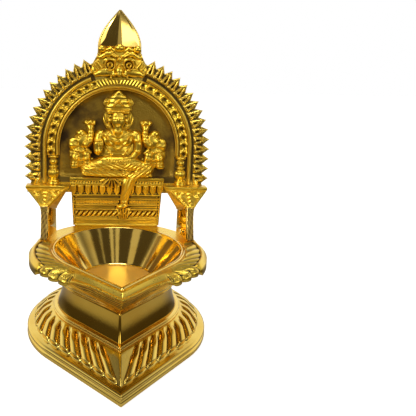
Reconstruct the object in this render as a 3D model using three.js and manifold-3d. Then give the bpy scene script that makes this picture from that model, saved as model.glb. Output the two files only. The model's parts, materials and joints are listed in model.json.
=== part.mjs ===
// Brass oil lamp with an arched figural back plate. Millimetres, +Z up.
// The origin is the middle of the foot's outline, on the surface that the lamp stands on. The cup's
// point is on the -Y side, and the back plate stands on the +Y side of the cup's rim.

import * as THREE from "three";
import { mergeVertices } from "three/addons/utils/BufferGeometryUtils.js";
import Module from "manifold-3d";

const wasm = await Module();
wasm.setup();

// Driving dimensions: foot, a hollow teardrop flange with slanted flutes
const footRadius = 50;
const footPoint = 72.7;
const footWall = 3.2;
const footBandWidth = 4;
const footBandHeight = 6.3;
const footTopLedge = 0.6;
const footTopHeight = 13.7;
const fluteCount = 17;
const fluteDepth = 1.9;
const fluteSlant = 0.077;

// Driving dimensions: step moulding and hollow neck
const brazeGap = 0.1;
const neckTopRadius = 30.2;
const neckPointRatio = 1.53;
const neckWall = 2.9;
const neckFlare = 3.2;
const neckHeight = 13.8;
const stepHeight = 2.4;
const stepOverhang = 2;
const neckPinRadius = 1.4;
const neckPinDrop = 3.4;

// Driving dimensions: cup
const cupShift = 5.9;
const cupFloorRadius = 20;
const cupFloorThickness = 3;
const cupDepth = 18;
const cupMouthRadius = 34.2;
const cupMouthPoint = 51.3;
const cupLip = 2;
const cupBandOverhang = 1.8;
const cupShoulderRadius = 38;
const cupShoulderPoint = 59.3;

// Driving dimensions: leaf-carved rim collar
const collarRadius = 47.4;
const collarPoint = 62.2;
const collarThickness = 3.4;
const leafGrooveDepth = 0.8;
const rimClearance = 0.3;

// Driving dimensions: arched back plate and its stem. Shares of height are of the plate's height above
// the rim, and the stem's shares are of the half width over the teeth.
const overallHeight = 178.4;
const plateSetback = 33;
const plateThickness = 4;
const toothTipShare = 0.4334;
const archCentreShare = 0.3777;
const shoulderShare = 0.161;
const finialBaseShare = 0.8305;
const toothLength = 4;
const toothRidgeLength = 4.6;
const toothRidgeHeight = 1.4;
const toothCount = 15;
const firstToothAngle = 22;
const shoulderInset = 1.3;
const stemTopShare = 0.4946;
const stemBaseShare = 0.4732;
const nicheDepth = 1.4;

// Driving dimensions: arch mouldings, pillars and brackets
const toothFootClearance = 2.4;
const archBandsWidth = 10.3;
const nicheRingWidth = 2.6;
const archMouldingWidth = 2.4;
const mouldingRelief = 1.5;
const leafRelief = 1.6;
const leavesPerSide = 14;
const pillarShare = 0.1316;
const shelfShare = 0.2036;
const shelfDepth = 8.6;
const strutFootSetback = 4;
const strutRimInset = 4.2;
const strutThickness = 4.2;
const strutDepth = 18.2;
const strutTopShare = 0.1401;

// Driving dimensions: throne, figures and rear plaque
const throneRelief = 2.4;
const seatShare = 0.2368;
const figureRelief = 6.5;
const plaqueInset = 2.8;
const plaqueThickness = 0.8;
const plaqueBaseInset = 4.8;
const plaqueBaseShare = 0.1734;

// Finishes, one for each kind of surface
const finishes = {
  polished: { color: 0xd9a736, roughness: 0.12, metalness: 1 },
  satin: { color: 0xc99b45, roughness: 0.42, metalness: 1 },
  carved: { color: 0xc8952b, roughness: 0.34, metalness: 1 },
  braze: { color: 0xb28a3c, roughness: 0.55, metalness: 1 },
};

const lamp = new THREE.Group();

// Adds one named piece to the lamp.
function addPiece(name, geometry, finish) {
  const piece = new THREE.Mesh(geometry, new THREE.MeshStandardMaterial(finishes[finish]));
  piece.name = name;
  lamp.add(piece);
}

// Closed solids and their joins and cuts

// A solid for joining and cutting, from a closed geometry.
function toSolid(geometry) {
  const bare = geometry.clone();
  bare.deleteAttribute("normal");
  bare.deleteAttribute("uv");
  const merged = mergeVertices(bare, 1e-5);
  return new wasm.Manifold(new wasm.Mesh({
    numProp: 3,
    vertProperties: new Float32Array(merged.attributes.position.array),
    triVerts: new Uint32Array(merged.index.array),
  }));
}

// The geometry of a solid.
function toGeometry(solid) {
  const mesh = solid.getMesh();
  const geometry = new THREE.BufferGeometry();
  geometry.setAttribute("position", new THREE.BufferAttribute(mesh.vertProperties, 3));
  geometry.setIndex(new THREE.BufferAttribute(mesh.triVerts, 1));
  geometry.computeVertexNormals();
  return geometry;
}

// All solids of a list joined into one.
function joined(solids) {
  return solids.reduce((whole, next) => whole.add(next));
}

// A closed body through rings of points, all with the same number of points. A round body joins its
// last ring to its first, and an open one is closed by a fan at each end.
function ringBody(rings, round) {
  const size = rings[0].length;
  const points = rings.flat();
  const faces = [];
  const spans = round ? rings.length : rings.length - 1;
  for (let row = 0; row < spans; row += 1) {
    const here = row * size;
    const there = ((row + 1) % rings.length) * size;
    for (let column = 0; column < size; column += 1) {
      const next = (column + 1) % size;
      faces.push(here + column, here + next, there + next);
      faces.push(here + column, there + next, there + column);
    }
  }
  if (!round) {
    for (const end of [0, rings.length - 1]) {
      const centre = new THREE.Vector3();
      rings[end].forEach((point) => centre.addScaledVector(point, 1 / size));
      const middle = points.push(centre) - 1;
      for (let column = 0; column < size; column += 1) {
        const fan = [end * size + column, end * size + ((column + 1) % size), middle];
        faces.push(...(end === 0 ? fan.reverse() : fan));
      }
    }
  }
  return outward(points, faces);
}

// A geometry from points and faces, turned so that its faces point out.
function outward(points, faces) {
  let volume = 0;
  for (let face = 0; face < faces.length; face += 3) {
    const [a, b, c] = [points[faces[face]], points[faces[face + 1]], points[faces[face + 2]]];
    volume += a.dot(b.clone().cross(c));
  }
  const geometry = new THREE.BufferGeometry().setFromPoints(points);
  geometry.setIndex(volume < 0 ? faces.reverse() : faces);
  geometry.computeVertexNormals();
  return geometry;
}

// A box between two corners.
function block(low, high) {
  const size = high.clone().sub(low);
  const centre = high.clone().add(low).multiplyScalar(0.5);
  return toSolid(new THREE.BoxGeometry(size.x, size.y, size.z).translate(centre.x, centre.y, centre.z));
}

// A flat shape drawn in x and height, given a depth from one y to another.
function upright(shape, nearY, farY, curveSegments = 10) {
  const depth = farY - nearY;
  const geometry = new THREE.ExtrudeGeometry(shape, { depth, bevelEnabled: false, curveSegments });
  return geometry.rotateX(Math.PI / 2).translate(0, farY, 0);
}

// A rounded lump with half sizes along x, y and z.
function lump(x, y, z, halfX, halfY, halfZ, round = 8) {
  const ball = new THREE.SphereGeometry(1, round, Math.round(round * 0.7));
  return toSolid(ball.scale(halfX, halfY, halfZ).translate(x, y, z));
}

// A place at x, so far forward, and so high.
function spot(x, forward, up) {
  return new THREE.Vector3(x, -forward, up);
}

// A tapered bar with round ends between two points.
function limb(start, end, startRadius, endRadius, sides = 5) {
  const along = end.clone().sub(start).normalize();
  const turn = new THREE.Quaternion().setFromUnitVectors(new THREE.Vector3(0, 0, 1), along);
  const rings = [-0.8, 0, 1, 1.8].map((step) => {
    const share = THREE.MathUtils.clamp(step, 0, 1);
    const radius = THREE.MathUtils.lerp(startRadius, endRadius, share) * (step === share ? 1 : 0.45);
    const centre = start.clone().lerp(end, share);
    centre.addScaledVector(along, (step - share) * (share ? endRadius : startRadius));
    return Array.from({ length: sides }, (_, side) => {
      const angle = (side / sides) * Math.PI * 2;
      const point = new THREE.Vector3(Math.cos(angle) * radius, Math.sin(angle) * radius, 0);
      return point.applyQuaternion(turn).add(centre);
    });
  });
  return toSolid(ringBody(rings, false));
}

// Teardrop outlines

const footCentreY = (footPoint - footRadius) / 2;
const pointRatio = footPoint / footRadius;

// How far a teardrop outline is from its centre. The outline is a circle with two straight sides that
// leave it as tangents and meet in the point. The turn is 0 at the point and half a circle at the back.
function teardropReach(turn, radius, point) {
  const tangent = Math.acos(Math.min(1, radius / point));
  const away = Math.abs(turn);
  return away < tangent ? radius / Math.cos(tangent - away) : radius;
}

// A point on a teardrop outline.
function teardropPoint(turn, level) {
  const reach = teardropReach(turn, level.radius, level.point);
  return new THREE.Vector3(reach * Math.sin(turn), level.centreY - reach * Math.cos(turn), level.z);
}

// A level of a teardrop body: radius of its round part, reach of its point, and height.
function level(radius, point, z, centreY = footCentreY) {
  return { radius, point, z, centreY };
}

// Turns spread evenly round a body, starting at its point.
function evenTurns(count) {
  return Array.from({ length: count }, (_, column) => {
    const turn = (column / count) * Math.PI * 2;
    return turn > Math.PI ? turn - Math.PI * 2 : turn;
  });
}

// How many columns the step moulding, the neck and the cup have.
const turnedColumns = 40;

// A body whose levels are teardrops.
function teardropBody(levels, columns, round) {
  const turns = evenTurns(columns);
  return ringBody(levels.map((one) => turns.map((turn) => teardropPoint(turn, one))), round);
}

// Sizes of the foot's top, the step moulding and the neck, which follow from the neck's top

const boreRadius = neckTopRadius - neckWall;
const borePoint = boreRadius * neckPointRatio;
const neckTopPoint = neckTopRadius * neckPointRatio;
const neckBaseRadius = neckTopRadius + neckFlare;
const neckBasePoint = neckTopPoint + neckFlare;
const stepRadius = neckBaseRadius + stepOverhang;
const footTopRadius = stepRadius + footTopLedge;

// The foot: the flange that the lamp stands on. Its flutes slant forward from a plain triangle at the
// back, and its underside is hollow.

// The turn at a share of the way along half of the foot's outline, from the point to the back.
function turnAlong(share) {
  const tangent = Math.acos(footRadius / footPoint);
  const straight = Math.sqrt(footPoint ** 2 - footRadius ** 2);
  const whole = straight + footRadius * (Math.PI - tangent);
  const distance = share * whole;
  if (distance < straight) {
    return tangent - Math.atan((straight - distance) / footRadius);
  }
  return tangent + (distance - straight) / footRadius;
}

// One side's columns, from the point to the back. Each has its height in a flute, and a function that
// gives its share of the outline from how far up the flutes it is. The flutes lean by the slant, and
// the columns behind the last flute close up towards the top into the plain triangle's corner.
function fluteColumns() {
  const columns = [];
  const endClearance = 0.006;
  const steps = [{ place: 0, crest: 0 }, { place: 0.3, crest: 1 }, { place: 0.7, crest: 1 }];
  const fluted = (along) => (up) => THREE.MathUtils.lerp(
    fluteSlant * up + endClearance,
    1 - fluteSlant * (1 - up) - endClearance,
    along,
  );
  for (let flute = 0; flute < fluteCount; flute += 1) {
    for (const { place, crest } of steps) {
      columns.push({ share: fluted((flute + place) / fluteCount), crest });
    }
  }
  for (const spread of [1, 0.66, 0.33]) {
    columns.push({ share: (up) => 1 - spread * (fluteSlant * (1 - up) + endClearance), crest: 0 });
  }
  return columns;
}

// The foot's and the step moulding's inner edge is this much wider than the neck's bore.
const seatLedge = 2.2;

function footGeometry() {
  const bandInner = footRadius - footBandWidth;
  const side = fluteColumns();
  const seatRadius = boreRadius + seatLedge;
  const edgeRows = [
    { radius: footRadius - footWall, z: 0, up: 0 },
    { radius: footRadius, z: 0, up: 0 },
    { radius: footRadius - 0.9, z: 3.1, up: 0 },
    { radius: footRadius - 0.4, z: 4.6, up: 0 },
  ];
  const fluteRows = [0, 0.2, 0.8, 1].map((up) => ({
    radius: THREE.MathUtils.lerp(bandInner, footTopRadius, up),
    z: THREE.MathUtils.lerp(footBandHeight, footTopHeight, up),
    up,
    raise: up === 0 || up === 1 ? 0 : fluteDepth,
  }));
  const innerRows = [
    { radius: seatRadius, z: footTopHeight, up: 1 },
    { radius: seatRadius + footWall / 2, z: footTopHeight - footWall, up: 0.9 },
    { radius: bandInner - footWall, z: footBandHeight - footWall, up: 0.2 },
  ];
  const slope = new THREE.Vector2(footTopHeight - footBandHeight, bandInner - footTopRadius).normalize();
  const rows = [...edgeRows, ...fluteRows, ...innerRows];
  const rings = rows.map((row) => {
    const columnPoint = (column, mirror) => {
      const lift = (row.raise ?? 0) * column.crest;
      const radius = row.radius + lift * slope.x;
      const shape = level(radius, radius * pointRatio, row.z + lift * slope.y);
      return teardropPoint(turnAlong(column.share(row.up)) * mirror, shape);
    };
    const plain = level(row.radius, row.radius * pointRatio, row.z);
    const right = side.map((column) => columnPoint(column, 1));
    const left = side.map((column) => columnPoint(column, -1)).reverse();
    return [teardropPoint(0, plain), ...right, teardropPoint(Math.PI, plain), ...left];
  });
  return ringBody(rings, true);
}

addPiece("foot", footGeometry(), "polished");

// The step moulding: a beaded ring between the foot and the neck

const stepBase = footTopHeight + brazeGap;
const stepTop = stepBase + stepHeight;
const stepRows = [
  { radius: boreRadius + seatLedge, up: 0 },
  { radius: stepRadius, up: 0 },
  { radius: stepRadius - 0.8, up: 0.35 },
  { radius: stepRadius - 0.1, up: 0.65 },
  { radius: stepRadius - 1.2, up: 1 },
  { radius: boreRadius + seatLedge, up: 1 },
];
const stepLevels = stepRows.map((row) => (
  level(row.radius, row.radius * pointRatio, stepBase + row.up * stepHeight)
));
addPiece("step_moulding", teardropBody(stepLevels, turnedColumns, true), "polished");

// The neck: a hollow waist with a sharp keel in front. A small pin plugs a hole in its back.

const neckBase = stepTop + brazeGap;
const neckTop = neckBase + neckHeight;
const neckLean = cupShift / 2;

// The neck's outer size at a share of its height, flaring in a hollow curve towards its base.
function neckLevel(up) {
  const flare = (1 - up) ** 2.2;
  const radius = THREE.MathUtils.lerp(neckTopRadius, neckBaseRadius, flare);
  const point = THREE.MathUtils.lerp(neckTopPoint, neckBasePoint, flare);
  return level(radius, point - neckLean * up, neckBase + neckHeight * up, footCentreY - neckLean * up);
}

const neckOuter = [0, 0.15, 0.35, 0.6, 1].map(neckLevel);
const neckInner = [1, 0].map((up) => (
  level(boreRadius, borePoint - neckLean * up, neckBase + neckHeight * up, footCentreY - neckLean * up)
));
const neckPinHeight = neckTop - neckPinDrop;
const neckPinUp = (neckPinHeight - neckBase) / neckHeight;
const neckBack = neckLevel(neckPinUp).centreY + neckLevel(neckPinUp).radius;
const neckBoreBack = neckLevel(neckPinUp).centreY + boreRadius;

// A pin along Y as a turned profile, with a domed head outside the neck.
function neckPinGeometry(radius, head) {
  const inner = neckBoreBack + 0.4;
  const outline = [
    new THREE.Vector2(0, inner),
    new THREE.Vector2(radius, inner),
    new THREE.Vector2(radius, neckBack + head),
    new THREE.Vector2(radius * 0.6, neckBack + head * 2),
    new THREE.Vector2(0, neckBack + head * 2.3),
  ];
  return new THREE.LatheGeometry(outline, 12).translate(0, 0, neckPinHeight);
}

const neckShell = toSolid(teardropBody([...neckOuter, ...neckInner], turnedColumns, true));
const pinHole = new THREE.CylinderGeometry(neckPinRadius + brazeGap, neckPinRadius + brazeGap, 12, 12)
  .translate(0, neckBack, neckPinHeight);
addPiece("neck", toGeometry(neckShell.subtract(toSolid(pinHole))), "satin");
addPiece("neck_pin", neckPinGeometry(neckPinRadius, 0.25), "polished");

// The cup: a turned bowl with a flat floor and a pointed spout. Its base is a spigot in the neck.

const cupBase = neckTop + brazeGap;
const cupFloor = cupBase + 1.1;
const cupTop = cupFloor + cupDepth;
const collarBase = cupTop - collarThickness;
const cupBottomY = footCentreY - neckLean;
const cupCentreY = footCentreY - cupShift;

// A level of the cup, whose centre moves forward as it rises.
function cupLevel(radius, point, z) {
  const share = THREE.MathUtils.clamp((z - cupBase) / (collarBase - cupBase), 0, 1);
  return level(radius, point, z, THREE.MathUtils.lerp(cupBottomY, cupCentreY, share));
}

// The point's reach at a height of the slanting fascia, between the neck's keel and the shoulder.
function fasciaPoint(z) {
  const share = (z - cupBase) / (collarBase - cupBase);
  return THREE.MathUtils.lerp(neckTopPoint - neckLean, cupShoulderPoint, share);
}

function cupGeometry() {
  const spigot = boreRadius - rimClearance;
  const grooves = [0.9, 0.1, 0.9].map((inset, step) => ({ inset, z: cupBase + 0.9 + step * 1.4 }));
  const bandRadius = neckTopRadius + cupBandOverhang;
  const bandFoot = cupBase + 5.3;
  const waist = bandFoot + 3.5;
  const levels = [
    level(spigot, borePoint - neckLean - rimClearance * 2, cupFloor - cupFloorThickness, cupBottomY),
    level(spigot, borePoint - neckLean - rimClearance * 2, cupBase, cupBottomY),
    cupLevel(neckTopRadius - 0.4, fasciaPoint(cupBase) - 0.3, cupBase),
    ...grooves.map((groove) => cupLevel(bandRadius - groove.inset, fasciaPoint(groove.z), groove.z)),
    cupLevel(bandRadius + 0.4, fasciaPoint(bandFoot), bandFoot),
    cupLevel(THREE.MathUtils.lerp(bandRadius, cupShoulderRadius, 0.6), fasciaPoint(waist), waist),
    cupLevel(cupShoulderRadius, cupShoulderPoint, collarBase - brazeGap),
    cupLevel(cupMouthRadius + cupLip, cupMouthPoint + cupLip * 1.5, collarBase - brazeGap),
    cupLevel(cupMouthRadius + cupLip, cupMouthPoint + cupLip * 1.5, cupTop),
    cupLevel(cupMouthRadius + cupLip / 2, cupMouthPoint + cupLip * 0.75, cupTop + 0.3),
    cupLevel(cupMouthRadius, cupMouthPoint, cupTop),
    level(cupFloorRadius, cupFloorRadius * 1.03, cupFloor, cupCentreY),
  ];
  return teardropBody(levels, turnedColumns, false);
}

addPiece("cup", cupGeometry(), "polished");

// The rim collar: a flange of leaves round the cup's lip. Three small lobes on each side lead to one
// large leaf that runs to the point, a thick lobe curls round each side, and the back is plain.

// A smooth step from 0 to 1 between two angles in degrees.
function rise(angle, from, to) {
  return THREE.MathUtils.smoothstep(angle, from, to);
}

// How far the collar's top lies under the cup's lip.
const collarSink = 0.2;

function collarGeometry() {
  const columns = 96;
  const innerRadius = cupMouthRadius + cupLip + rimClearance;
  const innerPoint = cupMouthPoint + cupLip * 1.5 + rimClearance * 1.5;
  const turns = evenTurns(columns);
  const rows = [
    { across: 0, top: false },
    { across: 0, top: true },
    { across: 0.55, top: true },
    { across: 1, top: true },
    { across: 1, top: false },
    { across: 0.64, top: false },
  ];
  const rings = rows.map((row) => turns.map((turn, column) => {
    const degrees = Math.abs(THREE.MathUtils.radToDeg(turn));
    const carved = 1 - rise(degrees, 104, 118);
    const lobes = rise(degrees, 30, 34) * (1 - rise(degrees, 58, 62));
    const sideLobe = rise(degrees, 58, 66) * (1 - rise(degrees, 106, 120));
    const curl = Math.abs(Math.sin(THREE.MathUtils.degToRad(degrees - 31) * 12));
    const scallop = lobes * (curl - 0.6) * 1.6;
    const groove = (column % 2) * leafGrooveDepth * carved * (row.across > 0 ? 1 : 0);
    const outer = teardropReach(turn, collarRadius, collarPoint) + scallop + sideLobe * 0.6;
    const inner = teardropReach(turn, innerRadius, innerPoint);
    const reach = THREE.MathUtils.lerp(inner, outer, row.across);
    const droop = row.across ** 2 * (1.4 * carved - 1.2 * (1 - rise(degrees, 18, 34)));
    const thick = collarThickness + row.across * sideLobe * 2.4 - row.across * (1 - carved) * 0.6;
    const edge = row.across === 1 ? droop + thick : collarThickness;
    const z = cupTop - (row.top ? collarSink + droop + groove : edge);
    const onTop = teardropPoint(turn, level(1, 1, z, cupCentreY));
    onTop.x = reach * Math.sin(turn);
    onTop.y = cupCentreY - reach * Math.cos(turn);
    return onTop;
  }));
  return ringBody(rings, true);
}

addPiece("rim_collar", collarGeometry(), "carved");

// The back plate: one flat casting with a toothed arch, a spade-shaped top and a stem on the rim.

const plateFront = footCentreY + plateSetback;
const plateBack = plateFront + plateThickness;
const collarTop = cupTop - collarSink;
const stemBase = collarTop + brazeGap;
const plateRise = overallHeight - stemBase;
const toothTipRadius = plateRise * toothTipShare;
const toothRootRadius = toothTipRadius - toothLength;
const archCentreHeight = stemBase + plateRise * archCentreShare;
const shoulderHeight = stemBase + plateRise * shoulderShare;
const shoulderHalfWidth = toothTipRadius - shoulderInset;
const stemTopHalfWidth = toothTipRadius * stemTopShare;
const stemBaseHalfWidth = toothTipRadius * stemBaseShare;
const finialBaseHeight = stemBase + plateRise * finialBaseShare;
const finialHalfWidth = (overallHeight - finialBaseHeight) * 0.58;
const shelfHeight = stemBase + plateRise * shelfShare;
const seatHeight = stemBase + plateRise * seatShare;
const archMouldingRadius = toothRootRadius - toothRidgeLength - toothFootClearance;
const nicheRadius = archMouldingRadius - archBandsWidth;
const firstTooth = THREE.MathUtils.degToRad(firstToothAngle);
const toothRun = (Math.PI / 2 - firstTooth) * toothTipRadius + archCentreHeight - seatHeight;
const toothPitch = toothRun / (toothCount - 1);

// A place along the toothed edge at a radius: round the arch from the top, then straight down its side.
function archPlace(distance, radius) {
  const arc = (Math.PI / 2 - firstTooth) * toothTipRadius;
  if (distance < arc) {
    const angle = firstTooth + distance / toothTipRadius;
    return new THREE.Vector2(radius * Math.sin(angle), archCentreHeight + radius * Math.cos(angle));
  }
  return new THREE.Vector2(radius, archCentreHeight - (distance - arc));
}

// One side of the plate's outline, from the stem's foot to the tip of the spade.
function plateSide() {
  const side = [
    new THREE.Vector2(stemBaseHalfWidth, stemBase),
    new THREE.Vector2(stemTopHalfWidth, shoulderHeight),
    new THREE.Vector2(shoulderHalfWidth, shoulderHeight),
  ];
  for (let tooth = toothCount - 1; tooth >= 0; tooth -= 1) {
    side.push(archPlace((tooth + 0.5) * toothPitch, toothRootRadius));
    side.push(archPlace(tooth * toothPitch, toothTipRadius));
  }
  side.push(archPlace(-toothPitch / 2, toothRootRadius));
  const shoulder = side[side.length - 1];
  const waist = new THREE.Vector2(finialHalfWidth, finialBaseHeight);
  const tip = new THREE.Vector2(0, overallHeight);
  const spadeHeight = tip.y - waist.y;
  const sweep = new THREE.CubicBezierCurve(
    shoulder,
    new THREE.Vector2(shoulder.x - spadeHeight * 0.205, shoulder.y + spadeHeight * 0.114),
    new THREE.Vector2(waist.x + 0.2, waist.y - spadeHeight * 0.274),
    waist,
  );
  const spade = new THREE.CubicBezierCurve(
    waist,
    new THREE.Vector2(waist.x, waist.y + spadeHeight * 0.32),
    new THREE.Vector2(tip.x + spadeHeight * 0.329, tip.y - spadeHeight * 0.388),
    tip,
  );
  side.push(...sweep.getPoints(5).slice(1), ...spade.getPoints(7).slice(1));
  return side;
}

// An arch standing on two straight legs, as a closed shape.
function archShape(radius, footHeight) {
  const shape = new THREE.Shape();
  shape.moveTo(-radius, footHeight);
  shape.lineTo(radius, footHeight);
  shape.lineTo(radius, archCentreHeight);
  shape.absarc(0, archCentreHeight, radius, 0, Math.PI, false);
  shape.lineTo(-radius, footHeight);
  return shape;
}

// The raised wedge on the front of one tooth, from its tip inwards to a blunt end.
function toothRidge(distance, mirror) {
  const inner = toothRootRadius - toothRidgeLength;
  const half = toothPitch * 0.36;
  const corner = (along, radius, y) => {
    const flat = archPlace(distance + along, radius);
    return new THREE.Vector3(flat.x * mirror, y, flat.y);
  };
  const points = [
    corner(0, toothTipRadius - 0.2, plateFront + 0.6),
    corner(half, toothRootRadius - 0.3, plateFront + 0.6),
    corner(half * 0.7, inner, plateFront + 0.6),
    corner(-half * 0.7, inner, plateFront + 0.6),
    corner(-half, toothRootRadius - 0.3, plateFront + 0.6),
    corner(0, toothRootRadius - 1, plateFront - toothRidgeHeight),
    corner(0, inner + 0.8, plateFront - toothRidgeHeight),
  ];
  const faces = [0, 1, 5, 0, 5, 4, 1, 2, 6, 1, 6, 5, 4, 5, 6, 4, 6, 3, 2, 3, 6, 0, 4, 1, 4, 3, 1, 3, 2, 1];
  return toSolid(outward(points, faces));
}

function plateGeometry() {
  const right = plateSide();
  const left = right.slice(0, -1).reverse().map((point) => new THREE.Vector2(-point.x, point.y));
  let plate = toSolid(upright(new THREE.Shape([...right, ...left]), plateFront, plateBack));
  const niche = upright(archShape(nicheRadius, seatHeight), plateFront - 1, plateFront + nicheDepth, 18);
  plate = plate.subtract(toSolid(niche));
  const ridges = [];
  for (let tooth = 0; tooth < toothCount; tooth += 1) {
    ridges.push(toothRidge(tooth * toothPitch, 1), toothRidge(tooth * toothPitch, -1));
  }
  return toGeometry(joined([plate, ...ridges]));
}

addPiece("back_plate", plateGeometry(), "satin");

// The finial: a bevelled spade in front of the plate's top, with a vertical ridge

function finialGeometry() {
  const side = plateSide();
  const atSpade = (point) => point.y >= finialBaseHeight - 0.01 && point.x < finialHalfWidth + 1;
  const rim = side.slice(side.findIndex(atSpade));
  const back = plateFront - brazeGap;
  const mirrorRim = rim.slice(0, -1).reverse().map((point) => new THREE.Vector2(-point.x, point.y));
  const outline = [...rim, ...mirrorRim];
  const middle = new THREE.Vector2(0, (overallHeight + finialBaseHeight) / 2);
  const ring = (shrink, y) => outline.map((point) => {
    const inset = point.clone().sub(middle).multiplyScalar(shrink).add(middle);
    return new THREE.Vector3(inset.x, y, inset.y);
  });
  const ridge = (shrink, y) => ring(shrink, y).map((point) => point.setX(point.x * 0.04));
  const bevel = [ring(0.97, back), ring(0.97, back - 0.8), ring(0.9, back - 0.6), ridge(0.8, back - 2.6)];
  return ringBody(bevel, false);
}

addPiece("finial", finialGeometry(), "polished");

// Arch mouldings in front of the plate: an outer roll, a chain of leaves and the niche's double ring

// A raised band along an arch on straight legs. Its section gives offsets across the band and heights
// above the plate, and a wave can change the height along it.
function archBand(radius, footHeight, section, columns, wave = () => 1) {
  const leg = archCentreHeight - footHeight;
  const arc = Math.PI * radius;
  const whole = arc + 2 * leg;
  const rings = [];
  for (let column = 0; column <= columns; column += 1) {
    const distance = (column / columns) * whole;
    const raise = wave(column);
    rings.push(section.map(({ across, height }) => {
      const reach = radius + across;
      const y = plateFront - brazeGap - height * (height > 0 ? raise : 1);
      if (distance < leg) {
        return new THREE.Vector3(-reach, y, footHeight + distance);
      }
      if (distance > leg + arc) {
        return new THREE.Vector3(reach, y, archCentreHeight - (distance - leg - arc));
      }
      const angle = (distance - leg) / radius;
      return new THREE.Vector3(-reach * Math.cos(angle), y, archCentreHeight + reach * Math.sin(angle));
    }));
  }
  return ringBody(rings, false);
}

// A band's section, half round on a flat back.
function roundSection(width, height) {
  return [0, 0.28, 0.72, 1].map((share) => ({
    across: (share - 0.5) * width,
    height: share === 0 || share === 1 ? 0 : height,
  }));
}

const mouldingFoot = shelfHeight + rimClearance;
const leafBandInner = nicheRadius + nicheRingWidth + rimClearance;
const leafBandOuter = archMouldingRadius - archMouldingWidth - rimClearance;
const leafBandWidth = leafBandOuter - leafBandInner;
const pillarHeight = plateRise * pillarShare;
const leafBandFoot = shelfHeight + pillarHeight + rimClearance * 2;
const rollRadius = archMouldingRadius - archMouldingWidth / 2;
const rollSection = roundSection(archMouldingWidth, mouldingRelief);
const roll = toSolid(archBand(rollRadius, mouldingFoot, rollSection, 44));
const ringRadius = nicheRadius + nicheRingWidth / 2;
const ring = archBand(ringRadius, leafBandFoot, roundSection(nicheRingWidth, mouldingRelief), 38);
addPiece("niche_ring", ring, "polished");
const leafWave = (column) => [0.35, 1, 0.8][column % 3];
const leafSection = roundSection(leafBandWidth, leafRelief);
const leafRadius = (leafBandInner + leafBandOuter) / 2;
const leafChain = archBand(leafRadius, leafBandFoot, leafSection, leavesPerSide * 2 * 3, leafWave);

// The monster mask at the top of the arch: eyes, brows, snout, cheeks and a crest of three knobs

const maskBase = archCentreHeight + leafBandOuter + rimClearance;
const maskTop = finialBaseHeight - rimClearance;

// The mask is drawn on a plane, with z from its foot up, as wide as this for each mm of its height.
const drawnMaskHeight = 15.6;
const maskHalfWidth = 16.6;

function maskSolid() {
  const back = plateFront - brazeGap;
  const lumps = [lump(0, 0, 7, 13.3, 1.8, 9, 10)];
  lumps.push(lump(0, -1, 3.1, 2.8, 3.4, 2.8));
  lumps.push(lump(0, -0.6, 14, 2.8, 2.6, 2, 6));
  for (const side of [-1, 1]) {
    lumps.push(lump(side * 5, -1, 7.5, 2.7, 2.6, 2.3));
    lumps.push(limb(spot(side * 2.4, 1, 10.4), spot(side * 9.4, 0.8, 12), 1.3, 1));
    lumps.push(limb(spot(side * 2.6, 1.2, 1.9), spot(side * 12, 0.6, 1.6), 1.9, 1.4));
    lumps.push(lump(side * 9.6, -0.2, 13.2, 1.9, 2, 1.5, 6));
    lumps.push(lump(side * 13.4, -0.2, 4.7, 3.2, 1.8, 3.6, 6));
  }
  const scale = (maskTop - maskBase) / drawnMaskHeight;
  const drawn = joined(lumps).scale([scale, scale, scale]).translate([0, back, maskBase]);
  const reach = maskHalfWidth * scale;
  return drawn.intersect(block(spot(-reach, reach - back, maskBase), spot(reach, -back, maskTop)));
}

const mask = maskSolid();
addPiece("monster_mask", toGeometry(mask), "carved");
addPiece("leaf_chain", leafChain, "carved");

// The outer roll ends at the mask's cheeks, so it is two pieces.
const rollEnd = maskHalfWidth * ((maskTop - maskBase) / drawnMaskHeight) + rimClearance * 2;
for (const [name, side] of [["arch_moulding_left", -1], ["arch_moulding_right", 1]]) {
  const edges = [side * rollEnd, side * toothTipRadius].sort((a, b) => a - b);
  const low = spot(edges[0], -plateFront / 2, shoulderHeight);
  const room = block(low, spot(edges[1], -plateBack, overallHeight));
  addPiece(name, toGeometry(roll.intersect(room)), "polished");
}

// Pillars under the ends of the leaf chain: turned pots and rings, half sunk in the plate

const pillarHalfWidth = (leafBandOuter - nicheRadius) / 2;
const pillarX = (leafBandOuter + nicheRadius) / 2;

function pillarGeometry(side) {
  const profile = [
    [0, 0], [1, 0], [1, 0.08], [0.62, 0.12], [0.55, 0.2], [0.92, 0.3], [0.92, 0.42], [0.5, 0.5],
    [0.8, 0.55], [0.8, 0.62], [0.5, 0.66], [0.72, 0.76], [0.5, 0.86], [0.85, 0.92], [0.85, 1], [0, 1],
  ];
  const outline = profile.map(([out, up]) => new THREE.Vector2(out * pillarHalfWidth, up * pillarHeight));
  const turned = new THREE.LatheGeometry(outline, 12).rotateX(Math.PI / 2);
  const x = side * pillarX;
  const standing = toSolid(turned.translate(x, plateFront, shelfHeight + rimClearance));
  const reach = pillarHalfWidth * 2;
  const half = block(
    new THREE.Vector3(x - reach, plateFront - reach, shelfHeight),
    new THREE.Vector3(x + reach, plateFront - brazeGap, leafBandFoot + 1),
  );
  return toGeometry(standing.intersect(half));
}

for (const [name, side] of [["pillar_left", -1], ["pillar_right", 1]]) {
  addPiece(name, pillarGeometry(side), "carved");
}

// Brackets: on each side a leaning strut stands on the rim, and a funnel-shaped capital widens from
// the strut's top to the shelf that the pillar stands on

const strutFrontY = footCentreY + strutFootSetback;
const strutTopFrontY = strutFrontY + 6.5;
const strutBackY = strutFrontY + strutDepth;

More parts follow.
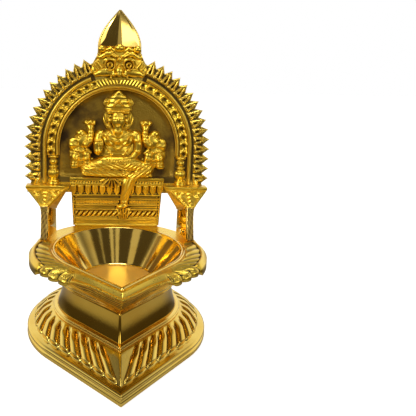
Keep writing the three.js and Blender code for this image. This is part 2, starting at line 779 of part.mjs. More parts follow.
// A strut's outline seen from above, from outer front to outer back, at one end of the strut.
function strutOutline(frontY, backY, outerFront, frontZ, backZ) {
  const innerFront = outerFront - strutThickness;
  const innerBack = innerFront - 3.2;
  const chamfer = 1.2;
  const slope = (y) => THREE.MathUtils.mapLinear(y, frontY, backY, frontZ, backZ);
  return [
    [outerFront, frontY], [innerFront + chamfer, frontY], [innerFront, frontY + chamfer],
    [innerBack, backY], [innerBack + 2.4, backY],
  ].map(([x, y]) => new THREE.Vector3(x, y, slope(y)));
}

// Mirrors a ring of points for the left side.
function mirrored(points, side) {
  return points.map((point) => new THREE.Vector3(point.x * side, point.y, point.z));
}

const strutOuterX = collarRadius - strutRimInset;
const strutTopHeight = stemBase + plateRise * strutTopShare;
const strutFoot = strutOutline(strutFrontY, strutBackY, strutOuterX, stemBase, stemBase);
const strutHead = strutOutline(
  strutTopFrontY, strutBackY + 1, strutOuterX + 0.3, strutTopHeight, strutTopHeight - 5,
);
const rivetHeight = stemBase + 3.2;
const rivetY = strutFrontY + strutDepth * 0.42;
const rivetRadius = 1.1;
const rivetHeadRadius = 1.9;

// A rivet along X through the right strut, with a flat head inside and a round head outside.
function rivetGeometry(radius, headRadius) {
  const inner = strutOuterX - strutThickness - 3;
  const outer = strutOuterX + 0.5;
  const outline = [
    new THREE.Vector2(0, inner),
    new THREE.Vector2(headRadius * 0.7, inner),
    new THREE.Vector2(headRadius, inner + 0.7),
    new THREE.Vector2(radius, inner + 0.7),
    new THREE.Vector2(radius, outer - 0.6),
    new THREE.Vector2(headRadius, outer - 0.6),
    new THREE.Vector2(headRadius * 0.7, outer + 0.4),
    new THREE.Vector2(0, outer + 0.8),
  ];
  return new THREE.LatheGeometry(outline, 12).rotateZ(-Math.PI / 2).translate(0, rivetY, rivetHeight);
}

for (const [name, side] of [["left", -1], ["right", 1]]) {
  const strut = toSolid(ringBody([mirrored(strutFoot, side), mirrored(strutHead, side)], false));
  const rivetHole = toSolid(rivetGeometry(rivetRadius + brazeGap, rivetHeadRadius + brazeGap));
  const riveted = strut.subtract(rivetHole);
  addPiece(`strut_${name}`, toGeometry(riveted), "polished");
  const neckOfCapital = mirrored(strutHead, side).map((point) => point.setZ(point.z + brazeGap));
  const shelfFront = plateFront - shelfDepth;
  const shelfBack = plateFront - brazeGap;
  const shelf = mirrored([
    [shoulderHalfWidth - 0.4, shelfFront], [stemTopHalfWidth + 4, shelfFront],
    [stemTopHalfWidth + 1.2, shelfFront + 2.4], [stemTopHalfWidth + 1.2, shelfBack],
    [shoulderHalfWidth - 0.4, shelfBack],
  ].map(([x, y]) => new THREE.Vector3(x, y, shelfHeight - 1.6)), side);
  const shelfTop = shelf.map((point) => point.clone().setZ(shelfHeight));
  addPiece(`capital_${name}`, ringBody([neckOfCapital, shelf, shelfTop], false), "carved");
}

addPiece("strut_rivet", rivetGeometry(rivetRadius, rivetHeadRadius), "polished");

// The braze seam: a bead of filler along the back of the stem's foot, uneven as it was run in

function seamGeometry() {
  const halfLength = stemBaseHalfWidth * 0.6;
  const steps = 14;
  const rings = [];
  for (let step = 0; step <= steps; step += 1) {
    const x = THREE.MathUtils.lerp(-halfLength, halfLength, step / steps);
    const size = 1.1 + 0.35 * Math.sin(step * 2.3) + 0.15 * Math.cos(step * 5.1);
    const y = plateBack + brazeGap;
    rings.push([
      new THREE.Vector3(x, y, stemBase), new THREE.Vector3(x, y + size * 1.2, stemBase),
      new THREE.Vector3(x, y + size * 0.6, stemBase + size * 0.5), new THREE.Vector3(x, y, stemBase + size),
    ]);
  }
  return ringBody(rings, false);
}

addPiece("braze_seam", seamGeometry(), "braze");

// The throne: a panel of mouldings on the front of the stem, with a wider seat slab on top

const throneBase = stemBase;
const throneProfile = [
  [0, 1], [0.12, 1], [0.13, 0.6], [0.15, 0.95], [0.18, 0.95], [0.19, 0.6], [0.32, 0.85], [0.33, 0.5],
  [0.42, 0.5], [0.43, 0.85], [0.54, 0.75], [0.56, 0.9], [0.6, 0.9], [0.62, 0.7], [0.68, 1.05], [0.78, 1.3],
  [0.84, 1.35], [0.85, 1.1], [0.9, 1.1], [0.91, 1.5], [1, 1.5],
];

// The hanging leg of the seated figure is drawn for a throne of this height.
const drawnThroneHeight = 30.6;

function throneSolid() {
  const tall = seatHeight - throneBase;
  const back = plateFront - brazeGap;
  const section = throneProfile.map(([up, out]) => (
    new THREE.Vector2(back - out * throneRelief, throneBase + up * tall)
  ));
  section.push(new THREE.Vector2(back, seatHeight), new THREE.Vector2(back, throneBase));
  const reach = shoulderHalfWidth;
  const settings = { depth: 2 * reach, bevelEnabled: false };
  const bar = new THREE.ExtrudeGeometry(new THREE.Shape(section), settings);
  const turn = new THREE.Matrix4().makeBasis(
    new THREE.Vector3(0, 1, 0), new THREE.Vector3(0, 0, 1), new THREE.Vector3(1, 0, 0),
  );
  const solid = toSolid(bar.applyMatrix4(turn).translate(-reach, 0, 0));
  const low = stemBaseHalfWidth - 1.6;
  const high = stemTopHalfWidth - 1.6;
  const slabFoot = throneBase + tall * 0.66;
  const slab = stemTopHalfWidth + 0.7;
  const rightEdge = [[low, throneBase], [high, slabFoot], [slab, slabFoot + 3], [slab, seatHeight]];
  const leftEdge = rightEdge.map(([x, z]) => [-x, z]).reverse();
  const face = new THREE.Shape([...rightEdge, ...leftEdge].map(([x, z]) => new THREE.Vector2(x, z)));
  const panel = solid.intersect(toSolid(upright(face, plateFront - shelfDepth, plateFront + 1)));
  const stretch = tall / drawnThroneHeight;
  const leg = joined([
    limb(spot(8.6, 1.5, 29.4), spot(5.2, 2.6, 18), 2.6, 2),
    limb(spot(5.2, 2.6, 18), spot(4.4, 2.2, 10.5), 2, 1.5),
    lump(3.7, -2, 9.1, 3.1, 2.2, 1.4, 8),
    lump(4.2, -1.4, 6.7, 4.6, 2, 1.6, 8),
  ]).scale([stretch, 1, stretch]).translate([0, back, throneBase]);
  const front = block(spot(-reach, shelfDepth - back, throneBase), spot(reach, -back, seatHeight));
  return panel.add(leg.intersect(front));
}

addPiece("throne_panel", toGeometry(throneSolid()), "carved");

// The seated goddess on the throne, and behind each knee an attendant elephant that lifts a lotus.
// They are drawn in millimetres from the middle of the seat, for a niche of the radius named here.

const drawnNicheRadius = 34.7;
const figureScale = nicheRadius / drawnNicheRadius;
const nicheFloorY = plateFront + nicheDepth;
const figureBack = nicheFloorY - brazeGap;
const figureFoot = seatHeight + brazeGap;
const kneeTop = 8.6;
const attendantInner = 14.2;

// The part of a figure that stands off the niche's floor, within a range of x and of height, put in
// its place in the niche.
function inNiche(parts, lowX, highX, low, high) {
  const room = block(spot(lowX, figureRelief * 1.2, low), spot(highX, 0, high));
  const drawn = joined(parts).intersect(room);
  return drawn.scale([figureScale, figureScale, figureScale]).translate([0, figureBack, figureFoot]);
}

function goddessSolid() {
  const r = figureRelief;
  const parts = [
    lump(0, 0, 2.4, 20.4, r * 0.5, 4.4, 8),
    lump(0, 0, 17, 7.4, r * 0.72, 11, 8),
    lump(0, 0, 25.2, 10.6, r * 0.66, 4.4, 8),
    limb(spot(0, 2, 26), spot(0, 2.4, 33), 3, 2.7),
    lump(0, -r * 0.25, 35.6, 4.2, r * 0.68, 5.6, 8),
    lump(0, 0, 36, 7.6, r * 0.4, 6.6, 8),
    lump(0, 0, 42.2, 6.8, r * 0.68, 3.4, 8),
    lump(0, 0, 46.6, 4.2, r * 0.6, 4, 6),
    lump(0, 0, 50.4, 1.7, r * 0.4, 2, 6),
  ];
  for (const side of [-1, 1]) {
    parts.push(limb(spot(side * 4, 3, 8.2), spot(side * 17.4, 2.4, 5), 3.4, 3.4));
    parts.push(limb(spot(side * 17, 3.4, 3.4), spot(-side * 2, 4.6, 2.2), 2.7, 2));
    parts.push(limb(spot(side * 11.4, 2.2, 25.6), spot(side * 12.2, 3.2, 16), 2.4, 2));
    parts.push(limb(spot(side * 12.2, 3.2, 16), spot(side * 6, 5, 11.8), 2, 1.5));
    parts.push(limb(spot(side * 11, 1.2, 27.4), spot(side * 15.8, 1.6, 28.4), 1.8, 1.5));
    parts.push(lump(side * 7, 0, 41.6, 2.4, 2.6, 2.6, 6));
  }
  const slim = attendantInner - rimClearance;
  const knees = inNiche(parts, -22.4, 22.4, 0, kneeTop);
  const rest = inNiche(parts, -slim, slim, kneeTop / 2, drawnNicheRadius * 1.51);
  return knees.add(rest);
}

// One attendant: body, head, ear, raised trunk with its lotus, and legs.
function attendantSolid(side) {
  const parts = [
    lump(side * 22.6, 0, 13.4, 5.8, 4.2, 6.6, 8),
    lump(side * 20, -0.4, 21.2, 4.4, 4.4, 4.6, 8),
    lump(side * 25.2, -0.4, 20.4, 3.6, 2.6, 4.4, 6),
    limb(spot(side * 18.4, 3, 20), spot(side * 16.4, 2.6, 26), 2, 1.5),
    limb(spot(side * 16.4, 2.6, 26), spot(side * 16.7, 2, 31), 1.5, 1.1),
    lump(side * 17, -0.6, 33, 3.4, 2.6, 1.6, 6),
    limb(spot(side * 18.8, 2.8, 13.6), spot(side * 18.2, 2.8, 9.6), 2, 1.8),
    limb(spot(side * 24.6, 2.4, 12), spot(side * 25.4, 2.4, 9.4), 2.4, 2.1),
  ];
  const far = drawnNicheRadius - 5;
  const [low, high] = side > 0 ? [attendantInner, far] : [-far, -attendantInner];
  return inNiche(parts, low, high, kneeTop + rimClearance, drawnNicheRadius + kneeTop);
}

addPiece("goddess", toGeometry(goddessSolid()), "carved");
addPiece("attendant_left", toGeometry(attendantSolid(-1)), "carved");
addPiece("attendant_right", toGeometry(attendantSolid(1)), "carved");

// The rear plaque: an arched relief with a roped border, a vase of leaves and two birds

const plaqueNear = plateBack + brazeGap;
const plaqueFar = plaqueNear + plaqueThickness;
const plaqueRadius = archMouldingRadius - plaqueInset;
const plaqueBaseHalfWidth = plaqueRadius - plaqueBaseInset;
const plaqueBaseHeight = stemBase + plateRise * plaqueBaseShare;
const ropeInset = 1.4;
const ropeWidth = 4;

// The plaque's arch, whose legs draw in towards a narrower base and whose top ends in a low peak.
function plaqueShape(inset) {
  const radius = plaqueRadius - inset;
  const shape = new THREE.Shape();
  const base = plaqueBaseHeight + inset;
  shape.moveTo(-plaqueBaseHalfWidth + inset, base);
  shape.lineTo(plaqueBaseHalfWidth - inset, base);
  const waist = THREE.MathUtils.lerp(archCentreHeight, plaqueBaseHeight, 0.53);
  shape.quadraticCurveTo(radius, waist, radius, archCentreHeight);
  shape.absarc(0, archCentreHeight, radius, 0, Math.PI, false);
  shape.quadraticCurveTo(-radius, waist, -plaqueBaseHalfWidth + inset, base);
  return shape;
}

function plaqueSolid() {
  const slab = toSolid(upright(plaqueShape(0), plaqueNear, plaqueFar));
  const ropeOuter = toSolid(upright(plaqueShape(ropeInset), plaqueNear + 0.2, plaqueFar + ropeInset / 1.5));
  const ropeInner = toSolid(upright(plaqueShape(ropeInset + ropeWidth), plaqueNear, plaqueFar + ropeWidth));
  return slab.add(ropeOuter.subtract(ropeInner));
}

addPiece("rear_plaque", toGeometry(plaqueSolid()), "carved");

// The vase and the birds are drawn in millimetres from the arch's centre, for a plaque of this radius.
const drawnPlaqueRadius = 42.2;
const vaseHalfRoom = 9.5;

// The part of a relief that stands off the plaque's face, within a range of x, put in its place.
function onPlaque(parts, lowX, highX) {
  const foot = plaqueBaseHeight + ropeInset + ropeWidth + rimClearance;
  const top = archCentreHeight + plaqueRadius - ropeInset - ropeWidth - rimClearance;
  const face = plaqueFar + brazeGap;
  const scale = plaqueRadius / drawnPlaqueRadius;
  const drawn = joined(parts).scale([scale, scale, scale]).translate([0, face, archCentreHeight]);
  const room = block(spot(lowX * scale, -face, foot), spot(highX * scale, -face - figureRelief, top));
  return drawn.intersect(room);
}

function vaseSolid() {
  const parts = [
    lump(0, 0, -9, 8.6, 3, 8.2, 12),
    lump(0, 0, 1, 5.6, 2.2, 5, 8),
    lump(0, 0, 6, 7.8, 2.4, 1.6, 8),
    lump(0, 0, 10.4, 7.4, 2, 5.2, 8),
    lump(0, 0, 17.5, 4.2, 2.6, 6.6, 8),
    lump(0, 0, -19, 6.6, 2, 3.4, 8),
  ];
  return onPlaque(parts, -vaseHalfRoom, vaseHalfRoom);
}

function birdSolid(side) {
  const parts = [
    lump(side * 19, 0, -4, 6.6, 2.6, 5.6, 10),
    limb(spot(side * 15, -0.6, 0), spot(side * 13, -0.6, 11.5), 2.6, 1.7),
    lump(side * 12.8, 0, 13, 2.4, 2.2, 2, 8),
    limb(spot(side * 22, -0.6, -4), spot(side * 29, -0.6, -14), 3.6, 2),
    limb(spot(side * 17.5, -0.6, -8), spot(side * 17, -0.6, -17), 1.7, 1.4),
  ];
  const near = vaseHalfRoom + rimClearance;
  const far = drawnPlaqueRadius - 7;
  return side > 0 ? onPlaque(parts, near, far) : onPlaque(parts, -far, -near);
}

addPiece("rear_vase", toGeometry(vaseSolid()), "carved");
addPiece("rear_bird_left", toGeometry(birdSolid(-1)), "carved");
addPiece("rear_bird_right", toGeometry(birdSolid(1)), "carved");

export default lamp;
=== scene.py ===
import json
import bpy
import numpy as np
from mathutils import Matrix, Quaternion, Vector


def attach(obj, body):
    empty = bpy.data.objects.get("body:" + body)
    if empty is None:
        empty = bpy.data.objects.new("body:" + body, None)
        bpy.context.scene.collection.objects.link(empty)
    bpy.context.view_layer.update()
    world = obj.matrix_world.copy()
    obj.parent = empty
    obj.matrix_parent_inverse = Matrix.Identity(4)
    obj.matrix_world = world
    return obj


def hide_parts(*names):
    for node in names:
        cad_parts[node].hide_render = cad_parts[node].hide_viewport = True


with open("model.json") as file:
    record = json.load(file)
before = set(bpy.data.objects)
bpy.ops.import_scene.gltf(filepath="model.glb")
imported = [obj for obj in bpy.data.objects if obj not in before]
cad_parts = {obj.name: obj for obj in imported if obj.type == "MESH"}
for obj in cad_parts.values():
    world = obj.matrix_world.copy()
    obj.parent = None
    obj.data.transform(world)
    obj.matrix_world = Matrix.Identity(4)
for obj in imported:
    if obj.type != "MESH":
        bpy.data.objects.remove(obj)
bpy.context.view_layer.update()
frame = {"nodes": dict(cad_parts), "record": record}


# The studio: a pale floor under a white surround, soft light from above and from both sides, and a
# camera at the photograph's angle. The side of the room behind the camera is darker, and the brass
# mirrors it between the lights.

frame_pixels = 416
camera_pixels_per_radian = 506.15
axis_pixel = (123.68, 161.40)
camera_height_angle = np.radians(10.40)
camera_turn = np.radians(-2.78)
camera_roll = np.radians(1.30)
camera_distance = 0.28283
camera_target = Vector((0.00269, 0.02031, 0.09408))

lens = bpy.data.cameras.new("photo_camera")
lens.sensor_width = 36
lens.lens = camera_pixels_per_radian * lens.sensor_width / frame_pixels
lens.shift_x = (frame_pixels / 2 - axis_pixel[0]) / frame_pixels
lens.shift_y = (axis_pixel[1] - frame_pixels / 2) / frame_pixels
lens.clip_start = 0.01
camera = bpy.data.objects.new("photo_camera", lens)
bpy.context.scene.collection.objects.link(camera)
towards = Vector((
    np.sin(camera_turn) * np.cos(camera_height_angle),
    -np.cos(camera_turn) * np.cos(camera_height_angle),
    np.sin(camera_height_angle),
))
camera.location = camera_target + towards * camera_distance
camera.rotation_euler = (towards.to_track_quat("Z", "Y") @ Quaternion((0, 0, 1), camera_roll)).to_euler()
bpy.context.scene.camera = camera
bpy.context.scene.view_settings.view_transform = "Standard"


class Value:
    """A shader socket that can be added, multiplied and compared as a number is."""

    tree = None

    def __init__(self, socket):
        self.socket = socket

    @classmethod
    def node(cls, kind, inputs=(), output=0, **settings):
        """One node of a kind, with its settings made first and then its sockets filled or linked."""
        made = cls.tree.nodes.new(kind)
        for key, value in settings.items():
            setattr(made, key, value)
        for key, value in inputs.items() if isinstance(inputs, dict) else enumerate(inputs):
            if isinstance(value, cls):
                cls.tree.links.new(value.socket, made.inputs[key])
            else:
                made.inputs[key].default_value = value
        return cls(made.outputs[output])

    def output(self, key):
        """Another output of the same node."""
        return Value(self.socket.node.outputs[key])

    def math(self, operation, *others):
        """A Math node on this value and any others."""
        return self.node("ShaderNodeMath", (self, *others), operation=operation)

    def reflected(self, operation, other):
        """A Math node with the number first and this value second."""
        return self.node("ShaderNodeMath", (other, self), operation=operation)

    def __add__(self, other):
        return self.math("ADD", other)

    def __sub__(self, other):
        return self.math("SUBTRACT", other)

    def __mul__(self, other):
        return self.math("MULTIPLY", other)

    def __truediv__(self, other):
        return self.math("DIVIDE", other)

    def __rsub__(self, other):
        return self.reflected("SUBTRACT", other)

    def __rtruediv__(self, other):
        return self.reflected("DIVIDE", other)

    __radd__ = __add__
    __rmul__ = __mul__

    def between(self, low, high):
        """A smooth step from 0 at the low value to 1 at the high one."""
        return self.node(
            "ShaderNodeMapRange", {0: self, 1: low, 2: high, 3: 0.0, 4: 1.0}, interpolation_type="SMOOTHSTEP"
        )

    def within(self, rise_from, rise_to, fall_from, fall_to):
        """1 between two soft edges: a smooth step up, times 1 less a second one."""
        return self.between(rise_from, rise_to) * (1 - self.between(fall_from, fall_to))


def mixed(share, first, second):
    """A colour a share of the way from the first to the second."""
    first, second = (c if isinstance(c, Value) else (*c, 1) for c in (first, second))
    return Value.node("ShaderNodeMix", {0: share, 6: first, 7: second}, output=2, data_type="RGBA")


def seen_rays():
    """1 for the camera's own rays, and 1 for those that it sees in metal or through glass."""
    path = Value.node("ShaderNodeLightPath", output="Is Camera Ray")
    return path, path.output("Is Glossy Ray") + path.output("Is Transmission Ray")


# The room round the lamp, by direction: a white sheet behind, a bright panel at each side, a dim fill in
# front, a dim ceiling with strips of light under it, and dark between them.

world = bpy.data.worlds.new("studio")
bpy.context.scene.world = world
world.use_nodes = True
Value.tree = world.node_tree
Value.tree.nodes.clear()
sideways = Value.node("ShaderNodeSeparateXYZ", (Value.node("ShaderNodeTexCoord"),))
depth, up = sideways.output("Y"), sideways.output("Z")
backdrop = depth.between(-0.05, 0.3) * up.within(-0.3, -0.05, 0.5, 0.8)
around_front = sideways / ((sideways * sideways + depth * depth).math("SQRT") + 0.001)
waves = (around_front * 7.3 + 0.6).math("SINE") + (around_front * 17.0 + 2.1).math("SINE") * 0.8
strips = waves.between(0.1, 0.7) * up.within(0.5, 0.62, 0.86, 0.92) * (1 - depth.between(-0.25, 0.1))
overhead = up.between(0.9, 0.97)
left_panel = sideways.within(-0.4, -0.55, -0.8, -0.92) * up.within(0.0, 0.15, 0.5, 0.66)
right_panel = sideways.within(0.26, 0.34, 0.6, 0.72) * up.within(-0.02, 0.12, 0.32, 0.42)
front_fill = depth.between(-0.5, -0.85) * (1 - sideways.between(-0.15, -0.3))
front_fill = front_fill * up.within(-0.25, -0.05, 0.42, 0.56)
room = (0.07, 0.058, 0.04)
for area, colour in (
    (overhead, (0.4, 0.4, 0.38)), (front_fill, (0.4, 0.38, 0.34)), (strips, (0.55, 0.52, 0.44)),
    (left_panel, (2.4, 2.35, 2.2)), (right_panel, (3.0, 2.95, 2.8)), (backdrop, (0.62, 0.62, 0.62)),
):
    room = mixed(area, room, colour)
camera_ray, mirrored_ray = seen_rays()
seen = (camera_ray + mirrored_ray * backdrop).math("MINIMUM", 1.0)
background = Value.node("ShaderNodeBackground", {0: mixed(seen, room, (1, 1, 1)), 1: 1.0})
world_output = Value.tree.nodes.new("ShaderNodeOutputWorld")
Value.tree.links.new(background.socket, world_output.inputs[0])


def add_light(name, place, aim, width, height, power):
    """A soft rectangular white light at a place, facing its aim."""
    lamp = bpy.data.lights.new(name, "AREA")
    lamp.shape = "RECTANGLE"
    lamp.size, lamp.size_y = width, height
    lamp.energy = power
    thing = bpy.data.objects.new(name, lamp)
    thing.location = place
    thing.rotation_euler = (Vector(place) - Vector(aim)).to_track_quat("Z", "Y").to_euler()
    bpy.context.scene.collection.objects.link(thing)


lamp_centre = (0, 0.01, 0.09)
add_light("top_softbox", (0, 0.0, 0.75), lamp_centre, 0.3, 0.2, 1.4)
add_light("left_softbox", (-0.5, -0.55, 0.42), lamp_centre, 0.1, 0.4, 1.5)
add_light("right_softbox", (0.6, -0.4, 0.36), lamp_centre, 0.07, 0.4, 0.7)


def new_material(name):
    """An empty node material, made the one that new nodes go to, and its output's first socket."""
    made = bpy.data.materials.new(name)
    made.use_nodes = True
    Value.tree = made.node_tree
    Value.tree.nodes.clear()
    return made, Value.tree.nodes.new("ShaderNodeOutputMaterial").inputs[0]


def principled(socket, inputs):
    """Ends a material with one Principled shader."""
    Value.tree.links.new(Value.node("ShaderNodeBsdfPrincipled", inputs).socket, socket)


# The floor is a pale sheet. The brass mirrors it as pale near the foot and behind it, and dimmer beyond.

floor_material, floor_out = new_material("pale_floor")
floor_place = Value.node("ShaderNodeTexCoord", output="Object")
floor_far = Value.node("ShaderNodeVectorMath", (floor_place,), output=1, operation="LENGTH")
floor_behind = Value.node("ShaderNodeSeparateXYZ", (floor_place,), output="Y")
near_sheet = (1 - floor_far.between(0.066, 0.1)).math("MAXIMUM", floor_behind.between(0.02, 0.15))
camera_ray, mirrored_ray = seen_rays()
sheet_colour = mixed(near_sheet, (0.1, 0.083, 0.06), (0.36, 0.35, 0.32))
principled(floor_out, {
    "Base Color": mixed(camera_ray, sheet_colour, (0.75, 0.75, 0.75)),
    "Roughness": 1.0, "Specular IOR Level": 0.0,
    "Emission Color": mixed(camera_ray + mirrored_ray * near_sheet * 0.25, (0, 0, 0), (0.8, 0.8, 0.8)),
    "Emission Strength": 1.0,
})

floor_mesh = bpy.data.meshes.new("floor")
floor_corners = [(3.0 * x, 3.0 * y, 0) for x, y in ((-1, -1), (1, -1), (1, 1), (-1, 1))]
floor_mesh.from_pydata(floor_corners, [], [(0, 1, 2, 3)])
floor_mesh.materials.append(floor_material)
floor = bpy.data.objects.new("floor", floor_mesh)
bpy.context.scene.collection.objects.link(floor)


# The brass finishes: mirror polish on the turned faces, a satin skin on the plate, and carved relief
# whose crests are burnished and whose recesses are painted dark, partly as residue and partly as painted
# shade. The recess attribute of a piece is 0 on its crests and 1 in its grooves.

def brass(name, bright, dark, smoothness, dullness, grain, grain_size, mottle=0.3):
    """One brass finish: colour and roughness run from a bright crest to a dark recess, painted as residue
    and shade, drift in soft patches of which some are warmer, and are crossed by fine upright scratches,
    with a grain as bump."""
    made, out = new_material(name)
    place = Value.node("ShaderNodeTexCoord", output="Object")
    recess = Value.node("ShaderNodeAttribute", output="Fac", attribute_name="recess")
    patches = Value.node("ShaderNodeTexNoise", {"Vector": place, "Scale": 45.0, "Detail": 4.0})
    fine = Value.node("ShaderNodeTexNoise", {"Vector": place, "Scale": 1000 / grain_size, "Detail": 3.0})
    stretched = Value.node("ShaderNodeMapping", {"Vector": place, "Scale": (900, 900, 60)})
    scratches = Value.node("ShaderNodeTexNoise", {"Vector": stretched, "Scale": 1.0, "Detail": 2.0})
    deep = (recess + (patches - 0.5) * mottle).between(0.25, 0.85)
    warm = tuple(c * k for c, k in zip(bright, (0.93, 0.86, 0.7)))
    rough = deep * (dullness - smoothness) + smoothness + (patches - 0.5) * (smoothness * 0.5)
    bump = Value.node("ShaderNodeBump", {"Strength": 0.35, "Distance": 0.0002, "Height": fine * grain})
    principled(out, {
        "Base Color": mixed(deep, mixed(patches.between(0.4, 0.68), bright, warm), dark),
        "Roughness": rough + (scratches - 0.5) * (smoothness * 0.4),
        "Metallic": 1 - deep * 0.35,
        "Normal": bump,
    })
    return made


# The dark colour of carved recesses: residue, and painted shade in the hollows.
residue_and_shade = (0.055, 0.031, 0.005)
polished = brass("polished_brass", (0.92, 0.65, 0.16), (0.2, 0.11, 0.012), 0.08, 0.4, 0.2, 1.6)
satin = brass("satin_brass", (0.86, 0.62, 0.2), (0.4, 0.25, 0.06), 0.3, 0.45, 0.8, 0.5)
carved = brass("carved_brass", (0.94, 0.645, 0.07), residue_and_shade, 0.31, 0.6, 0.3, 0.8)
braze = brass("braze_filler", (0.7, 0.5, 0.2), residue_and_shade, 0.35, 0.6, 1.5, 0.8)

slot_of = {part["node"]: part["material_slot"] for part in frame["record"]["subparts"]}
finish_of = {"polished_brass": polished, "satin_brass": satin, "carved_brass": carved, "braze_filler": braze}
for name, node in frame["nodes"].items():
    for slot in node.material_slots:
        slot.material = finish_of[slot_of[name]]


# The foot: a hollow flange cast in brass with a teardrop outline, standing on a flat ring under its
# rim. A double bead runs round the rim, and slanting flutes rise from it towards the neck. They lean
# forward from a plain triangle at the back. The casting is mirror-polished.

foot_centre_y = 11.35
foot_radius, foot_point = 50.0, 72.7
point_ratio = foot_point / foot_radius
flutes_per_side = 17
flute_slant = 0.077
flute_clearance = 0.006


def reach(turn, radius, point):
    """How far a teardrop outline is from its centre: its radius, or the radius over the cosine of the
    angle from the tangent point where the straight sides run to the point. The turn is 0 at the point."""
    tangent = np.arccos(np.clip(radius / point, -1, 1))
    away = np.abs(turn)
    return np.where(away < tangent, radius / np.cos(np.maximum(tangent - away, 0)), radius)


def step(value, low, high):
    """A smooth step: 3 t squared less 2 t cubed, with t from 0 at the low value to 1 at the high one."""
    t = np.clip((value - low) / (high - low), 0, 1)
    return t * t * (3 - 2 * t)


def within(value, rise_from, rise_to, fall_from, fall_to):
    """1 between two soft edges: a smooth step up, times 1 less a second one."""
    return step(value, rise_from, rise_to) * (1 - step(value, fall_from, fall_to))


def around(turn, distance, centre_y, z):
    """Points at a distance from a centre, turned away from the front."""
    turn, distance, centre_y, z = np.broadcast_arrays(turn, distance, centre_y, z)
    return np.stack([distance * np.sin(turn), centre_y - distance * np.cos(turn), z], -1)


def turn_along(share):
    """The turn at a share of the way along half of the foot's outline: first along the straight side,
    whose turn falls short of the tangent's by the arctangent of what is left, then round the circle."""
    tangent = np.arccos(foot_radius / foot_point)
    straight = np.sqrt(foot_point ** 2 - foot_radius ** 2)
    distance = share * (straight + foot_radius * (np.pi - tangent))
    on_side = tangent - np.arctan((straight - distance) / foot_radius)
    return np.where(distance < straight, on_side, tangent + (distance - straight) / foot_radius)


def rounded(points, cuts=3):
    """A profile with its corners cut to a quarter and three quarters of each side, some times over."""
    points = np.asarray(points, float)
    for _ in range(cuts):
        near = points[:-1] * 0.75 + points[1:] * 0.25
        far = points[:-1] * 0.25 + points[1:] * 0.75
        points = np.vstack([points[:1], np.stack([near, far], 1).reshape(-1, points.shape[1]), points[-1:]])
    return points


millimetre = 0.001


def solid(name, rings, material, node, recess=0.0, round_both=False):
    """A closed piece through rings of points in millimetres. Each ring closes on itself; the last joins
    the first where the piece is round both ways, and otherwise each end has one flat face. The faces
    are turned round if the volume that they hold comes out negative."""
    rings = np.asarray(rings, float)
    rows, columns = rings.shape[:2]
    here = np.arange(rows if round_both else rows - 1)[:, None] * columns
    there = (here + columns) % (rows * columns)
    first = np.arange(columns)[None, :]
    second = (first + 1) % columns
    quads = np.stack([here + first, here + second, there + second, there + first], -1).reshape(-1, 4)
    points = rings.reshape(-1, 3)
    a, b, c, d = (points[quads[:, k]] for k in range(4))
    volume = (np.cross(b - a, c - a) * a).sum() + (np.cross(c - a, d - a) * a).sum()
    ends = [] if round_both else [np.arange(columns)[::-1], np.arange(columns) + (rows - 1) * columns]
    for end in ends:
        centre = points[end].mean(0)
        fan = points[end] - centre
        volume += (np.cross(fan, np.roll(fan, -1, 0)) * centre).sum()
    faces = quads.tolist() + [end.tolist() for end in ends]
    if volume < 0:
        faces = [face[::-1] for face in faces]
    mesh = bpy.data.meshes.new(name)
    mesh.from_pydata((points * millimetre).tolist(), [], faces)
    mesh.polygons.foreach_set("use_smooth", np.full(len(faces), True))
    values = np.broadcast_to(recess, (rows, columns)).ravel()
    layer = mesh.attributes.new("recess", "FLOAT", "POINT")
    layer.data.foreach_set("value", np.clip(values, 0, 1).astype(np.float32))
    mesh.materials.append(material)
    thing = bpy.data.objects.new(name, mesh)
    bpy.context.scene.collection.objects.link(thing)
    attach(thing, "root")
    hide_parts(node)
    return thing


def add_finishes(thing, finishes, of_face):
    """More finishes on a piece, with the number of each face's: 0 for the piece's first."""
    for finish in finishes:
        thing.data.materials.append(finish)
    thing.data.polygons.foreach_set("material_index", np.asarray(of_face, np.int32))


def foot_columns(rise):
    """The share of the half outline for each row and column, and each column's place in its flute from
    0 to 1, or -1 where there is none. Lines of equal place slant with the rise."""
    front = np.linspace(0, 1, 9)[:-1]
    fluted = np.linspace(0, 1, flutes_per_side * 14 + 1)
    back = np.linspace(0, 1, 14)[1:]
    start = flute_slant * rise + flute_clearance
    stop = 1 - flute_slant * (1 - rise) - flute_clearance
    share = np.concatenate([
        start * front, start + (stop - start) * fluted, stop + (1 - stop) * back
    ], 1)
    place = np.concatenate([front * 0 - 1, (fluted * flutes_per_side) % 1, back * 0 - 1])
    return share, place


rim_profile = rounded([
    (46.8, 0, 0), (49.5, 0, 0), (50, 0.6, 0), (50, 2.2, 0), (49.1, 2.9, 0), (49.1, 3.2, 0), (49.9, 3.9, 0),
    (49.9, 4.9, 0), (48.9, 5.7, 0), (47.6, 5.9, 0), (46.4, 6.1, 0),
])
flute_run, flute_climb, flute_lift = 10.0, 7.4, 2.0
flute_rise = np.linspace(0, 1, 34)
flute_profile = np.stack([46 - flute_run * flute_rise, 6.3 + flute_climb * flute_rise, flute_rise], -1)
under_profile = np.array([
    (29.5, 13.7, 1), (30.2, 11.2, 0.95), (38, 6.6, 0.5), (43, 3.4, 0.1), (44.8, 1.2, 0),
])
foot_profile = np.vstack([rim_profile, flute_profile, under_profile])
foot_r, foot_z, foot_up = (foot_profile[:, k:k + 1] for k in range(3))
share, place = foot_columns(foot_up)
fluted = np.zeros_like(foot_up)
fluted_rows = slice(len(rim_profile), len(rim_profile) + len(flute_profile))
fluted[fluted_rows, 0] = step(flute_rise, 0, 0.13) * (1 - step(flute_rise, 0.5, 1.0)) ** 0.7
half_flute = 0.3 + 0.19 * fluted
crest = np.maximum(1 - (np.abs(place - 0.5) / half_flute) ** 3.2, 0) ** 0.62 * (place >= 0) * fluted
slope_length = np.hypot(flute_climb, flute_run)
half_r = foot_r + flute_lift * crest * flute_climb / slope_length
half_z = foot_z + flute_lift * crest * flute_run / slope_length
